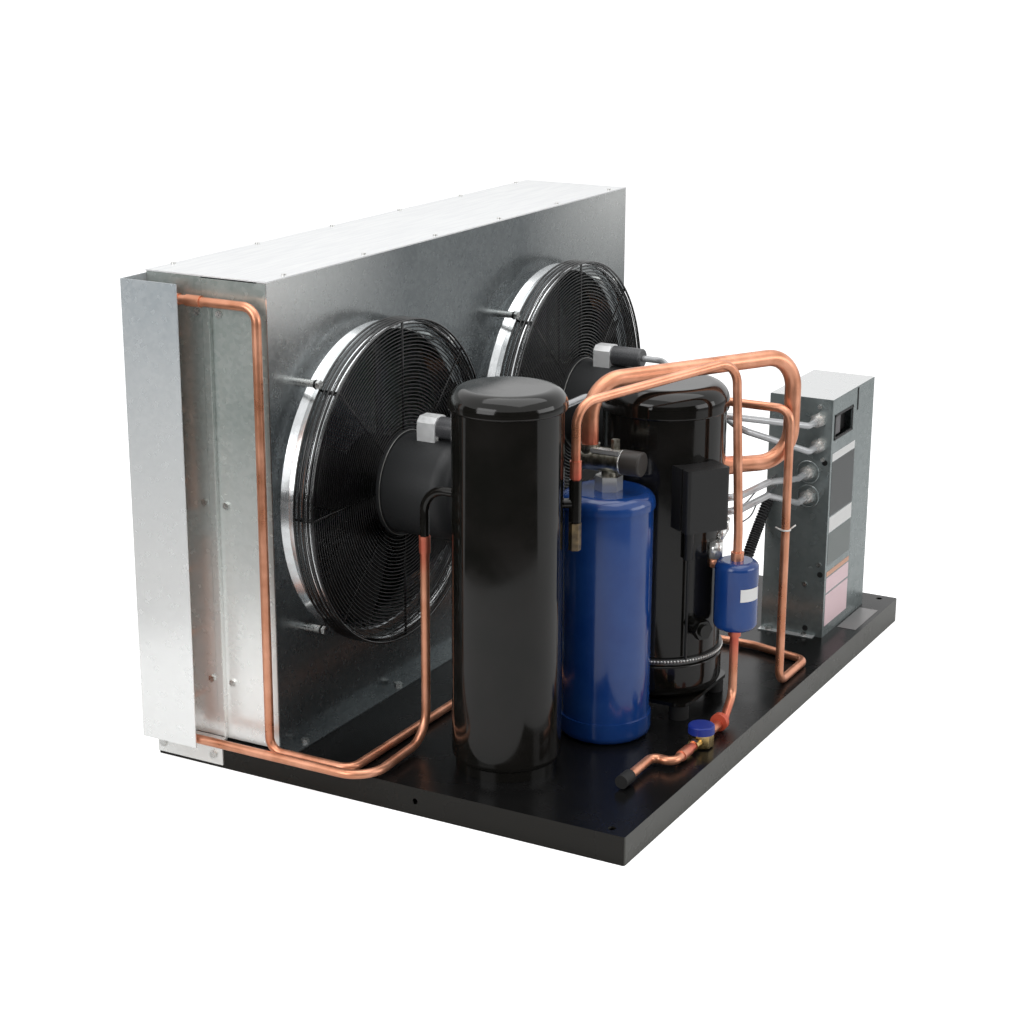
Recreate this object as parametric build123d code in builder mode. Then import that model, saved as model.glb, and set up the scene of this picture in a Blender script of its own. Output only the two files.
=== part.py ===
from build123d import *
import os
from math import cos, radians, sin, sqrt

# Refrigeration condensing unit, air cooled, on a sheet-steel base pan.
# Every position is measured from the near end (along), the service side (across)
# and the floor (up); at() moves it into the frame of the base centre.

# ---- base pan -----------------------------------------------------------------
base_length = 1250
base_width = 870
base_height = 47
base_sheet = 3
base_hole_radius = 6
base_hole_inset = 20
base_hole_across = 31
flange_hole_radius = 5

# ---- condenser casing ---------------------------------------------------------
casing_start = 14
casing_length = 1260
casing_front = base_width - 240
casing_depth = 232
casing_top = 820
casing_sheet = 2
foot_flange = 29
coil_box_depth = 62
far_box_depth = 24
coil_box_width = 108
coil_thickness = 44
fin_gap = 16
return_bend_count = 10
return_bend_radius = 12
coil_tube_radius = 4.8

# ---- fans ---------------------------------------------------------------------
fan_along = 300
fan_pitch = 648
fan_height = 443
fan_inner_radius = 255
collar_radius = 266
collar_reach = 27
guard_radius = 276
guard_face_across = casing_front - 63
guard_ring_gap = 12
guard_wire = 5
guard_rib_count = 8
guard_eye_offset = 205
motor_rim_radius = 90
motor_rim_depth = 16
motor_radius = 84
motor_front_across = casing_front - 188
motor_back_across = casing_front - 56
rotor_radius = 74
rotor_gap = 2.5
rotor_depth = 66
shaft_radius = 8
shaft_clearance = 0.05
blade_count = 5
blade_tip_radius = 249
blade_pitch = 28
blade_thickness = 4

# ---- vessels ------------------------------------------------------------------
receiver_along = 158
receiver_across = 288
receiver_radius = 87.5
receiver_cap_radius = 93
receiver_top = 668
accumulator_along = 357
accumulator_across = 211
accumulator_radius = 74
accumulator_bead_radius = 77
accumulator_top = 466
compressor_along = 541
compressor_across = 198
compressor_radius = 104
compressor_cap_radius = 108
compressor_top = 612

# ---- pipes --------------------------------------------------------------------
small_pipe_radius = 7.5
suction_pipe_radius = 14
coupling_wall = 1.8
discharge_floor_up = 55
liquid_line_up = 60
drier_along = 522
drier_across = 50
drier_radius = 37
drier_bottom = 205
drier_top = 325

# ---- control box --------------------------------------------------------------
box_along = 957
box_across = 50
box_length = 226
box_depth = 123
box_top = 508
box_sheet = 2
cover_width = 136
cover_gap = 0.3
window_up = 432
window_length = 92
window_height = 42
conduit_radius = 6

parts = []


def at(along, across, up):
    """Turns a place measured from the near end, service side and floor into frame coordinates."""
    return Vector(along - base_length / 2, across - base_width / 2, up)


def keep(part, name):
    """Names a finished part and puts it on the list that is exported."""
    part.label = name
    parts.append(part)
    return part


def slab(along, across, up, length, depth, height):
    """A plain block given by its lowest corner and its three sizes, added to the open part."""
    corner = at(along, across, up)
    with Locations(corner):
        Box(length, depth, height, align=(Align.MIN, Align.MIN, Align.MIN))


def carve(along, across, up, length, depth, height):
    """The same block cut out of the open part."""
    corner = at(along, across, up)
    with Locations(corner):
        Box(length, depth, height, align=(Align.MIN, Align.MIN, Align.MIN), mode=Mode.SUBTRACT)


def rod(start, direction, radius, length, mode=Mode.ADD):
    """A round bar from a start point along a direction, added to or cut from the open part."""
    plane = Plane(origin=start, z_dir=direction)
    with BuildSketch(plane) as disc:
        Circle(radius)
    extrude(disc.sketch, amount=length, mode=mode)


def hex_bar(start, direction, radius, length):
    """A six-sided bar from a start point along a direction, added to the open part."""
    plane = Plane(origin=start, z_dir=direction)
    with BuildSketch(plane) as hexagon:
        RegularPolygon(radius, 6)
    extrude(hexagon.sketch, amount=length)


def sit_on_shell(along, across, radius):
    """Cuts the open part back to the surface of an upright round shell."""
    rod(at(along, across, 0), (0, 0, 1), radius, 1000, Mode.SUBTRACT)


def bent_pipe(points, bend, radius):
    """A pipe of one diameter along straight runs joined by bends of one radius."""
    with BuildPart() as pipe:
        with BuildLine() as route:
            FilletPolyline(*points, radius=bend)
        with BuildSketch(Plane(origin=points[0], z_dir=points[1] - points[0])):
            Circle(radius)
        sweep(path=route.wires()[0])
    return pipe.part


# ---- base pan: a steel tray turned upside down, flanges down on all four sides ----
with BuildPart() as base_pan:
    slab(0, 0, 0, base_length, base_width, base_height)
    fillet(base_pan.edges().filter_by(Axis.Z), 4)
    carve(
        base_sheet,
        base_sheet,
        0,
        base_length - 2 * base_sheet,
        base_width - 2 * base_sheet,
        base_height - base_sheet,
    )
    for hole_along in (base_hole_inset, base_length - base_hole_inset):
        hole = at(hole_along, base_hole_across, base_height)
        rod(hole, (0, 0, -1), base_hole_radius, 10, Mode.SUBTRACT)
    rod(at(0, 365, base_height / 2), (1, 0, 0), flange_hole_radius, 10, Mode.SUBTRACT)
keep(base_pan.part, "base_pan")

# ---- foot angle that ties the coil cover to the near flange -------------------
foot_start = casing_front + 105
foot_length = base_width - foot_start - 2
with BuildPart() as foot_angle:
    slab(-3, foot_start, 6, 3, foot_length, base_height - 6 + 3)
    slab(0, foot_start, base_height, 12, foot_length, 3)
keep(foot_angle.part, "coil_foot_angle")

# ---- fan panel: the upright sheet on the service side, two openings, a foot ---
casing_end = casing_start + casing_length
casing_back = casing_front + casing_depth
with BuildPart() as fan_panel:
    panel_height = casing_top - base_height - casing_sheet
    slab(casing_start, casing_front, base_height, casing_length, casing_sheet, panel_height)
    slab(casing_start, casing_front - foot_flange, base_height, casing_length, foot_flange, casing_sheet)
    slab(casing_start, casing_front, casing_top - 2 * casing_sheet, casing_length, 18, casing_sheet)
    for number in range(2):
        centre = at(fan_along + number * fan_pitch, casing_front - 1, fan_height)
        rod(centre, (0, 1, 0), fan_inner_radius + 3, casing_sheet + 2, Mode.SUBTRACT)
keep(fan_panel.part, "fan_panel")

# ---- top panel ----------------------------------------------------------------
with BuildPart() as top_panel:
    lid_up = casing_top - casing_sheet
    slab(casing_start, casing_front, lid_up, casing_length, casing_depth, casing_sheet)
keep(top_panel.part, "top_panel")

# ---- end plates: a plenum half and a coil half at each end, joined by a folded seam
coil_split = casing_back - coil_box_width
plate_up = base_height + 3
plate_height = casing_top - casing_sheet - plate_up
seam_depth = 8
with BuildPart() as end_plates:
    plenum_start = casing_front + casing_sheet
    plenum_depth = coil_split - plenum_start - cover_gap
    near_seam = (casing_start, casing_start - seam_depth)
    far_seam = (casing_end - casing_sheet, casing_end)
    for plate_along, seam_along in (near_seam, far_seam):
        slab(plate_along, plenum_start, plate_up, casing_sheet, plenum_depth, plate_height - casing_sheet)
        slab(seam_along, coil_split - 20, plate_up, seam_depth, casing_sheet, plate_height - 40)
        slab(plate_along, coil_split, plate_up, casing_sheet, coil_box_width - casing_sheet, plate_height)
keep(end_plates.part, "casing_end_plates")

# ---- coil covers: bent sheet standing off each end of the coil ----------------
with BuildPart() as coil_covers:
    near_face = casing_start - coil_box_depth
    far_face = casing_end + far_box_depth - casing_sheet
    far_wall = casing_end - casing_sheet
    for face_along, wall_along, reach in (
        (near_face, near_face, coil_box_depth + casing_sheet),
        (far_face, far_wall, far_box_depth + casing_sheet),
    ):
        slab(face_along, coil_split, plate_up, casing_sheet, coil_box_width, plate_height - 3)
        slab(wall_along, casing_back - casing_sheet, plate_up, reach, casing_sheet, plate_height - 3)
keep(coil_covers.part, "coil_covers")

# ---- finned coil: the block of fins between the two tube plates ---------------
coil_along = casing_start + casing_sheet
coil_length = casing_length - 2 * casing_sheet
coil_back = casing_back - casing_sheet - 6
coil_front = coil_back - coil_thickness
coil_up = plate_up + 8
coil_height = casing_top - casing_sheet - coil_up - 4
groove_count = 24
groove_pitch = coil_length / groove_count
with BuildPart() as fin_block:
    slab(coil_along, coil_front, coil_up, coil_length, coil_thickness, coil_height)
    for number in range(groove_count):
        carve(coil_along + (number + 0.5) * groove_pitch, coil_back - 5, coil_up, 3, 5, coil_height)
keep(fin_block.part, "coil_fins")

with BuildPart() as coil_shelf:
    slab(coil_along, coil_front, base_height, coil_length, coil_thickness, coil_up - base_height)
keep(coil_shelf.part, "coil_support_rail")

# ---- return bends on the near tube plate --------------------------------------
bend_across = coil_back - coil_thickness / 2
bend_pitch = (coil_height - 80) / (return_bend_count - 1)
with BuildPart() as return_bends:
    for number in range(return_bend_count):
        middle = at(casing_start, bend_across, coil_up + 40 + number * bend_pitch)
        with BuildLine() as hairpin:
            lower = middle - Vector(0, 0, return_bend_radius)
            upper = middle + Vector(0, 0, return_bend_radius)
            out = Vector(-14, 0, 0)
            tip = out + Vector(-return_bend_radius, 0, 0)
            Line(lower, lower + out)
            ThreePointArc(lower + out, middle + tip, upper + out)
            Line(upper + out, upper)
        with BuildSketch(Plane(origin=lower, z_dir=(-1, 0, 0))):
            Circle(coil_tube_radius)
        sweep(path=hairpin.wires()[0])
keep(return_bends.part, "coil_return_bends")

# ---- headers: vertical copper manifolds inside the near coil cover ------------
inlet_along = -6
inlet_up = 783
header_clearance = 27
header_across = bend_across - header_clearance
inlet_header_up = 430
inlet_header_length = 372
with BuildPart() as inlet_header:
    rod(at(inlet_along, header_across, inlet_header_up), (0, 0, 1), 11, inlet_header_length)
    rod(at(inlet_along, header_across, inlet_up), (0, -1, 0), small_pipe_radius + coupling_wall, 24)
    for number in range(3):
        feeder = at(inlet_along, header_across, inlet_header_up + 50 + number * 120)
        rod(feeder, (1, 0, 0), 4, casing_start - inlet_along)
keep(inlet_header.part, "inlet_header")
outlet_along = -33
outlet_up = 59.5
with BuildPart() as outlet_header:
    rod(at(outlet_along, header_across, outlet_up - 5), (0, 0, 1), 10, 320)
    rod(at(outlet_along, header_across, outlet_up), (0, -1, 0), small_pipe_radius + coupling_wall, 29)
    for number in range(3):
        rod(at(outlet_along, header_across, 110 + number * 110), (1, 0, 0), 4, casing_start - outlet_along)
keep(outlet_header.part, "outlet_header")

# ---- fans ---------------------------------------------------------------------
collar_lip = casing_front - collar_reach
collar_profile = [
    (fan_inner_radius, collar_lip),
    (fan_inner_radius + 3, collar_lip),
    (fan_inner_radius + 6, casing_front - 12),
    (collar_radius, casing_front),
    (fan_inner_radius + 2.7, casing_front),
    (fan_inner_radius + 2.7, casing_front + 14),
    (fan_inner_radius, casing_front + 14),
]
guard_back = collar_lip - guard_wire / 2
face_middle = guard_face_across - guard_wire / 2
rib_radius = guard_wire / 2 - 0.7
shoulder_radius = guard_radius - guard_wire / 2
rotor_front = motor_back_across + rotor_gap
motor_length = motor_back_across - motor_front_across
gland_width = 42
gland_depth = 34
gland_height = 42
gland_up = fan_height + motor_radius - 4
capacitor_radius = 18.5
capacitor_up = fan_height + motor_radius + capacitor_radius + 0.5
capacitor_across = casing_front - 138
capacitor_length = 62
fan_places = [fan_along + number * fan_pitch for number in range(2)]
eye_offsets = [(side * guard_eye_offset, height * guard_eye_offset) for side in (-1, 1) for height in (-1, 1)]

# spun inlet collars pressed into the panel openings
with BuildPart() as collars:
    for centre_along in fan_places:
        axis_point = at(centre_along, 0, fan_height)
        with BuildSketch(Plane(origin=axis_point, x_dir=(1, 0, 0), z_dir=(0, 0, 1))) as collar_section:
            with BuildLine():
                Polyline(*collar_profile, close=True)
            make_face()
        revolve(collar_section.sketch, axis=Axis(axis_point, (0, 1, 0)))
keep(collars.part, "fan_collars")

# bolts and spacers that hold the guard eyes off the panel
with BuildPart() as standoffs:
    for centre_along in fan_places:
        for side, height in eye_offsets:
            spot = at(centre_along + side, casing_front, fan_height + height)
            rod(spot, (0, -1, 0), 6.5, casing_front - guard_back)
            rod(spot, (0, -1, 0), 4, casing_front - guard_back + guard_wire)
            hex_bar(spot - Vector(0, casing_front - guard_back + guard_wire, 0), (0, -1, 0), 7.5, 6)
keep(standoffs.part, "guard_bolts")

# cable gland blocks and run capacitors clamped on top of the motors
with BuildPart() as gland_blocks:
    for centre_along in fan_places:
        gland_start = centre_along - gland_width / 2
        slab(gland_start, capacitor_across, gland_up, gland_width, gland_depth, gland_height)
        rod(at(centre_along, 400, fan_height), (0, 1, 0), motor_radius, 150, Mode.SUBTRACT)
    chamfer(gland_blocks.edges().filter_by(Axis.Y).group_by(Axis.Z)[-1], 9)
keep(gland_blocks.part, "motor_gland_blocks")
with BuildPart() as capacitors:
    for centre_along in fan_places:
        rod(at(centre_along, capacitor_across, capacitor_up), (0, -1, 0), capacitor_radius, capacitor_length)
    fillet(capacitors.edges().filter_by(GeomType.CIRCLE).group_by(Axis.Y)[0], 4)
keep(capacitors.part, "motor_capacitors")

for number, centre_along in enumerate(fan_places):
    tag = f"fan_{number + 1}"

    # wire guard: rings and ribs welded together, four eyes bolted off the panel
    with BuildPart() as guard:
        for step in range(5):
            ring_radius = guard_radius - 8 - 34 * step
            with BuildSketch(Plane(origin=at(centre_along, guard_face_across, fan_height), z_dir=(0, -1, 0))):
                Circle(ring_radius + guard_wire / 2)
                Circle(ring_radius - guard_wire / 2, mode=Mode.SUBTRACT)
            extrude(amount=guard_wire)
        for step in range(3):
            ring_across = guard_back - step * guard_ring_gap
            with BuildSketch(Plane(origin=at(centre_along, ring_across, fan_height), z_dir=(0, -1, 0))):
                Circle(guard_radius)
                Circle(guard_radius - guard_wire, mode=Mode.SUBTRACT)
            extrude(amount=guard_wire)
        for rib in range(guard_rib_count):
            angle = radians(45 + rib * 360 / guard_rib_count)
            outward = Vector(cos(angle), 0, sin(angle))
            hub = at(centre_along, face_middle, fan_height)
            root = hub + outward * (motor_rim_radius - 1)
            rod(root, outward, rib_radius, shoulder_radius - motor_rim_radius + 1)
            rod(hub + outward * shoulder_radius, (0, 1, 0), rib_radius + 0.4, guard_back - face_middle - 1)
        rim_front = at(centre_along, motor_front_across, fan_height)
        rod(rim_front, (0, 1, 0), motor_rim_radius, motor_length, Mode.SUBTRACT)
        for side, height in eye_offsets:
            eye = at(centre_along + side, guard_back, fan_height + height)
            rod(eye, (0, -1, 0), 9, guard_wire)
            rod(eye - Vector(0, guard_wire / 2, 0), Vector(-side, 0, -height), rib_radius - 0.5, 15)
            rod(eye, (0, -1, 0), 4.3, guard_wire, Mode.SUBTRACT)
    keep(guard.part, f"{tag}_guard")

    # motor: fixed stator housing with the bearing bore, held at the centre of the guard
    with BuildPart() as motor:
        rod(at(centre_along, motor_back_across, fan_height), (0, -1, 0), motor_radius, motor_length)
        fillet(motor.edges().filter_by(GeomType.CIRCLE).sort_by(Axis.Y)[0], 26)
        rod(at(centre_along, motor_back_across, fan_height), (0, -1, 0), motor_rim_radius, motor_rim_depth)
        bore_start = at(centre_along, motor_back_across, fan_height)
        rod(bore_start, (0, -1, 0), shaft_radius + shaft_clearance, 70, Mode.SUBTRACT)
    keep(motor.part, f"{tag}_motor")

    # impeller: rotor drum with its shaft in the stator bore and pitched blades welded on
    with BuildPart() as impeller:
        rod(at(centre_along, rotor_front, fan_height), (0, 1, 0), rotor_radius, rotor_depth)
        rod(at(centre_along, rotor_front, fan_height), (0, -1, 0), shaft_radius, 66)
        middle = at(centre_along, rotor_front + rotor_depth / 2, fan_height)
        reach = blade_tip_radius - rotor_radius
        for blade in range(blade_count):
            turn = radians(20 + blade * 360 / blade_count)
            outward = Vector(cos(turn), 0, sin(turn))
            sideways = Vector(-sin(turn), 0, cos(turn))
            face = sideways * sin(radians(blade_pitch)) + Vector(0, 1, 0) * cos(radians(blade_pitch))
            root = middle + outward * (rotor_radius - 6)
            with BuildSketch(Plane(origin=root, x_dir=outward, z_dir=face)):
                with BuildLine():
                    leading = Spline((0, -38), (reach * 0.5, -58), (reach * 0.94, -60))
                    tip = ThreePointArc(leading @ 1, (reach, -6), (reach * 0.95, 48))
                    trailing = Spline(tip @ 1, (reach * 0.5, 44), (0, 36))
                    Line(trailing @ 1, leading @ 0)
                make_face()
            extrude(amount=blade_thickness / 2, both=True)
    keep(impeller.part, f"{tag}_impeller")

# ---- liquid receiver: tall black vessel on a foot ring ------------------------
receiver_foot_up = base_height + 14
receiver_seam = receiver_top - 34
with BuildPart() as receiver_shell:
    receiver_foot = at(receiver_along, receiver_across, receiver_foot_up)
    rod(receiver_foot, (0, 0, 1), receiver_radius, receiver_seam - receiver_foot_up)
    fillet(receiver_shell.edges().filter_by(GeomType.CIRCLE).sort_by(Axis.Z)[0], 12)
    rod(at(receiver_along, receiver_across, base_height), (0, 0, 1), receiver_radius - 6, 30)
    rod(at(receiver_along, receiver_across, base_height), (0, 0, 1), receiver_radius - 10, 14, Mode.SUBTRACT)
keep(receiver_shell.part, "receiver_shell")
with BuildPart() as receiver_cap:
    receiver_rim = at(receiver_along, receiver_across, receiver_seam)
    rod(receiver_rim, (0, 0, 1), receiver_cap_radius, receiver_top - receiver_seam)
    fillet(receiver_cap.edges().filter_by(GeomType.CIRCLE).sort_by(Axis.Z)[-1], 26)
    fillet(receiver_cap.edges().filter_by(GeomType.CIRCLE).sort_by(Axis.Z)[0], 4)
keep(receiver_cap.part, "receiver_top_cap")

riser_across = 439
riser_top = 392
inlet_elbow_up = 485
elbow_points = [
    at(receiver_along, riser_across, riser_top),
    at(receiver_along, riser_across, inlet_elbow_up),
    at(receiver_along, receiver_across + receiver_radius + 0.1, inlet_elbow_up),
]
keep(bent_pipe(elbow_points, 38, small_pipe_radius), "receiver_inlet_elbow")

# receiver outlet valve: upright body on a stub welded into the shell
valve_along = 217
valve_across = 200
valve_up = 450
valve_top = valve_up + 68
valve_to_axis = at(receiver_along, receiver_across, 0) - at(valve_along, valve_across, 0)
to_receiver = valve_to_axis.normalized()
stub_length = valve_to_axis.length - receiver_radius
with BuildPart() as receiver_valve:
    rod(at(valve_along, valve_across, valve_up), (0, 0, 1), 10, valve_top - valve_up)
    rod(at(valve_along, valve_across, valve_up + 30), to_receiver, 8, stub_length)
    rod(at(valve_along, valve_across, valve_up - 14), (0, 0, 1), 5.5, 14)
keep(receiver_valve.part, "receiver_outlet_valve")
cap_clearance = 0.3
with BuildPart() as receiver_valve_cap:
    hex_bar(at(valve_along, valve_across, valve_up - 46), (0, 0, 1), 10, 44)
    rod(at(valve_along, valve_across, valve_up - 15), (0, 0, 1), 5.5 + cap_clearance, 14, Mode.SUBTRACT)
keep(receiver_valve_cap.part, "receiver_valve_cap")

# ---- suction accumulator: blue vessel with a screwed service valve on top -----
bead_low = base_height + 38
bead_high = accumulator_top - 26
with BuildPart() as accumulator_shell:
    lower_bead = at(accumulator_along, accumulator_across, base_height)
    upper_bead = at(accumulator_along, accumulator_across, bead_high)
    rod(lower_bead, (0, 0, 1), accumulator_bead_radius, bead_low - base_height)
    rod(upper_bead, (0, 0, 1), accumulator_bead_radius, accumulator_top - bead_high)
    fillet(accumulator_shell.edges().filter_by(GeomType.CIRCLE).sort_by(Axis.Z)[0], 14)
    fillet(accumulator_shell.edges().filter_by(GeomType.CIRCLE).sort_by(Axis.Z)[-1], 20)
    shell_start = at(accumulator_along, accumulator_across, bead_low)
    rod(shell_start, (0, 0, 1), accumulator_radius, bead_high - bead_low)
keep(accumulator_shell.part, "accumulator_shell")

suction_valve_up = accumulator_top + 49
tail_radius = 12
nut_height = 24
with BuildPart() as valve_nut:
    vessel_top = at(accumulator_along, accumulator_across, accumulator_top)
    hex_bar(vessel_top, (0, 0, 1), 23, nut_height)
    rod(vessel_top, (0, 0, 1), tail_radius, nut_height, Mode.SUBTRACT)
keep(valve_nut.part, "accumulator_valve_nut")
suction_riser_across = 246
barrel_start = suction_riser_across + 19
barrel_end = 186
socket_height = 24
with BuildPart() as valve_body:
    rod(vessel_top, (0, 0, 1), tail_radius, 49)
    barrel_back = at(accumulator_along, barrel_start, suction_valve_up)
    rod(barrel_back, (0, -1, 0), 19.5, barrel_start - barrel_end)
    riser_foot = at(accumulator_along, suction_riser_across, suction_valve_up)
    rod(riser_foot, (0, 0, 1), suction_pipe_radius + 3, socket_height)
    rod(at(accumulator_along, barrel_end, suction_valve_up), (0, -1, 0), 12, 14)
    rod(at(accumulator_along, barrel_end - 14, suction_valve_up), (0, 1, 0), 5.05, 40, Mode.SUBTRACT)
    hex_bar(at(accumulator_along, barrel_end + 14, suction_valve_up + 12), (0, 0, 1), 7, 24)
keep(valve_body.part, "accumulator_valve_body")
with BuildPart() as valve_stem:
    rod(at(accumulator_along, barrel_end + 20, suction_valve_up), (0, -1, 0), 5, 40)
keep(valve_stem.part, "accumulator_valve_stem")
with BuildPart() as valve_cap:
    cap_start = at(accumulator_along, barrel_end - 1, suction_valve_up)
    rod(cap_start, (0, -1, 0), 20.5, 34)
    fillet(valve_cap.edges().filter_by(GeomType.CIRCLE).sort_by(Axis.Y)[0], 3)
    rod(cap_start, (0, -1, 0), 12 + cap_clearance, 28, Mode.SUBTRACT)
keep(valve_cap.part, "accumulator_valve_cap")

# ---- compressor: hermetic scroll on four rubber feet --------------------------
foot_up = base_height + 26
body_bottom = foot_up + 6
cap_seam = compressor_top - 46
skirt_top = body_bottom + 62
with BuildPart() as compressor_shell:
    skirt_start = at(compressor_along, compressor_across, body_bottom)
    rod(skirt_start, (0, 0, 1), compressor_cap_radius, skirt_top - body_bottom)
    fillet(compressor_shell.edges().filter_by(GeomType.CIRCLE).sort_by(Axis.Z)[0], 22)
    fillet(compressor_shell.edges().filter_by(GeomType.CIRCLE).sort_by(Axis.Z)[-1], 4)
    tube_start = at(compressor_along, compressor_across, skirt_top - 10)
    rod(tube_start, (0, 0, 1), compressor_radius, cap_seam - skirt_top + 10)
keep(compressor_shell.part, "compressor_shell")
with BuildPart() as compressor_cap:
    compressor_rim = at(compressor_along, compressor_across, cap_seam)
    rod(compressor_rim, (0, 0, 1), compressor_cap_radius, compressor_top - cap_seam)
    fillet(compressor_cap.edges().filter_by(GeomType.CIRCLE).sort_by(Axis.Z)[-1], 30)
    fillet(compressor_cap.edges().filter_by(GeomType.CIRCLE).sort_by(Axis.Z)[0], 4)
keep(compressor_cap.part, "compressor_top_cap")

foot_reach = 95
with BuildPart() as foot_plate:
    plate_size = 2 * foot_reach
    slab(compressor_along - foot_reach, compressor_across - foot_reach, foot_up, plate_size, plate_size, 6)
    fillet(foot_plate.edges().filter_by(Axis.Z), 24)
keep(foot_plate.part, "compressor_foot_plate")
with BuildPart() as grommets:
    for side in (-1, 1):
        for depth in (-1, 1):
            foot = at(compressor_along + side * 74, compressor_across + depth * 74, base_height)
            rod(foot, (0, 0, 1), 17, 26)
keep(grommets.part, "compressor_rubber_feet")
heater_up = body_bottom + 66
heater_width = 9
with BuildPart() as heater:
    band_start = at(compressor_along, compressor_across, heater_up)
    rod(band_start, (0, 0, 1), compressor_radius + 5, heater_width)
    rod(band_start, (0, 0, 1), compressor_radius, heater_width, Mode.SUBTRACT)
keep(heater.part, "crankcase_heater_band")

# terminal box: moulded black housing with a snap-on cover, facing the near service corner
box_turn = radians(-125)
terminal_out = Vector(cos(box_turn), sin(box_turn), 0)
terminal_side = Vector(-sin(box_turn), cos(box_turn), 0)
terminal_up = 387
terminal_height = 106
terminal_width = 80
terminal_depth = 34
terminal_start = at(compressor_along, compressor_across, terminal_up) + terminal_out * (compressor_radius - 12)
with BuildPart() as terminal_base:
    with BuildSketch(Plane(origin=terminal_start, x_dir=terminal_side, z_dir=(0, 0, 1))):
        Rectangle(terminal_width, terminal_depth, align=(Align.CENTER, Align.MAX))
    extrude(amount=terminal_height)
    sit_on_shell(compressor_along, compressor_across, compressor_radius)
keep(terminal_base.part, "terminal_box_base")
cover_start = terminal_start + terminal_out * (terminal_depth + cover_gap)
with BuildPart() as terminal_cover:
    with BuildSketch(Plane(origin=cover_start, x_dir=terminal_side, z_dir=(0, 0, 1))):
        Rectangle(terminal_width, 22, align=(Align.CENTER, Align.MAX))
    extrude(amount=terminal_height)
    fillet(terminal_cover.edges().filter_by(Axis.Z), 6)
keep(terminal_cover.part, "terminal_box_cover")
with BuildPart() as heater_lead:
    lead_turn = radians(-132)
    lead_out = Vector(cos(lead_turn), sin(lead_turn), 0)
    lead_top = at(compressor_along, compressor_across, terminal_up) + lead_out * (compressor_radius + 9)
    rod(lead_top, (0, 0, -1), 8, 56)
    rod(lead_top - Vector(0, 0, 56), (0, 0, -1), 2.5, terminal_up - 56 - heater_up - heater_width)
keep(heater_lead.part, "heater_lead")

# oil service fitting on the lower shell
oil_turn = radians(-120)
oil_out = Vector(cos(oil_turn), sin(oil_turn), 0)
oil_up = 207
with BuildPart() as oil_fitting:
    oil_start = at(compressor_along, compressor_across, oil_up) + oil_out * (compressor_radius - 3)
    rod(oil_start, oil_out, 15, 15)
    hex_bar(oil_start + oil_out * 15, oil_out, 18, 13)
    rod(oil_start + oil_out * 28, oil_out, 11, 5)
    sit_on_shell(compressor_along, compressor_across, compressor_radius)
keep(oil_fitting.part, "oil_sight_fitting")

# suction and discharge ports brazed into the shell
port_up = 454
suction_drop_along = 715
suction_drop_across = 38
drop_foot = at(suction_drop_along, suction_drop_across, 0)
port_out = (drop_foot - at(compressor_along, compressor_across, 0)).normalized()
port_start = at(compressor_along, compressor_across, port_up) + port_out * (compressor_radius - 3)
discharge_up = 552
discharge_across = 176
port_offset = compressor_across - discharge_across
discharge_start = compressor_along + sqrt(compressor_radius**2 - port_offset**2)
with BuildPart() as ports:
    rod(port_start, port_out, 19, 12)
    rod(port_start + port_out * 12, port_out, suction_pipe_radius + coupling_wall, 26)
    rod(at(discharge_start - 6, discharge_across, discharge_up), (1, 0, 0), 12, 16)
    sit_on_shell(compressor_along, compressor_across, compressor_radius)
keep(ports.part, "compressor_ports")

# ---- refrigerant pipes --------------------------------------------------------
port_face = port_start + port_out * 38
suction_top = 640
suction_points = [
    at(accumulator_along, suction_riser_across, suction_valve_up + socket_height),
    at(accumulator_along, suction_riser_across, suction_top),
    at(suction_drop_along, suction_drop_across, suction_top),
    at(suction_drop_along, suction_drop_across, port_up),
    port_face,
]
keep(bent_pipe(suction_points, 58, suction_pipe_radius), "suction_pipe")

discharge_drop_along = 683
discharge_drop_across = 28
return_along = 838
return_across = riser_across + 41
inlet_riser_across = casing_front + 6
discharge_points = [
    at(discharge_start + 10, discharge_across, discharge_up),
    at(discharge_drop_along, discharge_across, discharge_up),
    at(discharge_drop_along, discharge_drop_across, discharge_up),
    at(discharge_drop_along, discharge_drop_across, discharge_floor_up),
    at(return_along - 27, discharge_drop_across, discharge_floor_up),
    at(return_along, discharge_across - 36, discharge_floor_up),
    at(return_along, return_across, discharge_floor_up),
    at(inlet_along, return_across, discharge_floor_up),
    at(inlet_along, inlet_riser_across, discharge_floor_up),
    at(inlet_along, inlet_riser_across, inlet_up),
    at(inlet_along, header_across - 24, inlet_up),
]
keep(bent_pipe(discharge_points, 24, small_pipe_radius), "discharge_pipe")

condensate_points = [
    at(outlet_along, header_across - 29, outlet_up),
    at(outlet_along, riser_across - 9, outlet_up),
    at(receiver_along, riser_across, outlet_up),
    at(receiver_along, riser_across, riser_top),
]
keep(bent_pipe(condensate_points, 50, small_pipe_radius), "condenser_outlet_pipe")

liquid_low_bend = 638
liquid_high_bend = 666
liquid_points = [
    at(valve_along, valve_across, valve_top),
    at(valve_along, valve_across, liquid_low_bend),
    at(drier_along - 8, drier_across + 10, liquid_high_bend),
    at(drier_along, drier_across, drier_top + 50),
    at(drier_along, drier_across, drier_top + 14),
]
keep(bent_pipe(liquid_points, 38, small_pipe_radius), "liquid_pipe")

# ---- filter drier: blue steel shell with a fitting at each end ----------------
with BuildPart() as drier:
    rod(at(drier_along, drier_across, drier_bottom), (0, 0, 1), drier_radius, drier_top - drier_bottom)
    fillet(drier.edges().filter_by(GeomType.CIRCLE), 12)
keep(drier.part, "filter_drier_shell")

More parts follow.
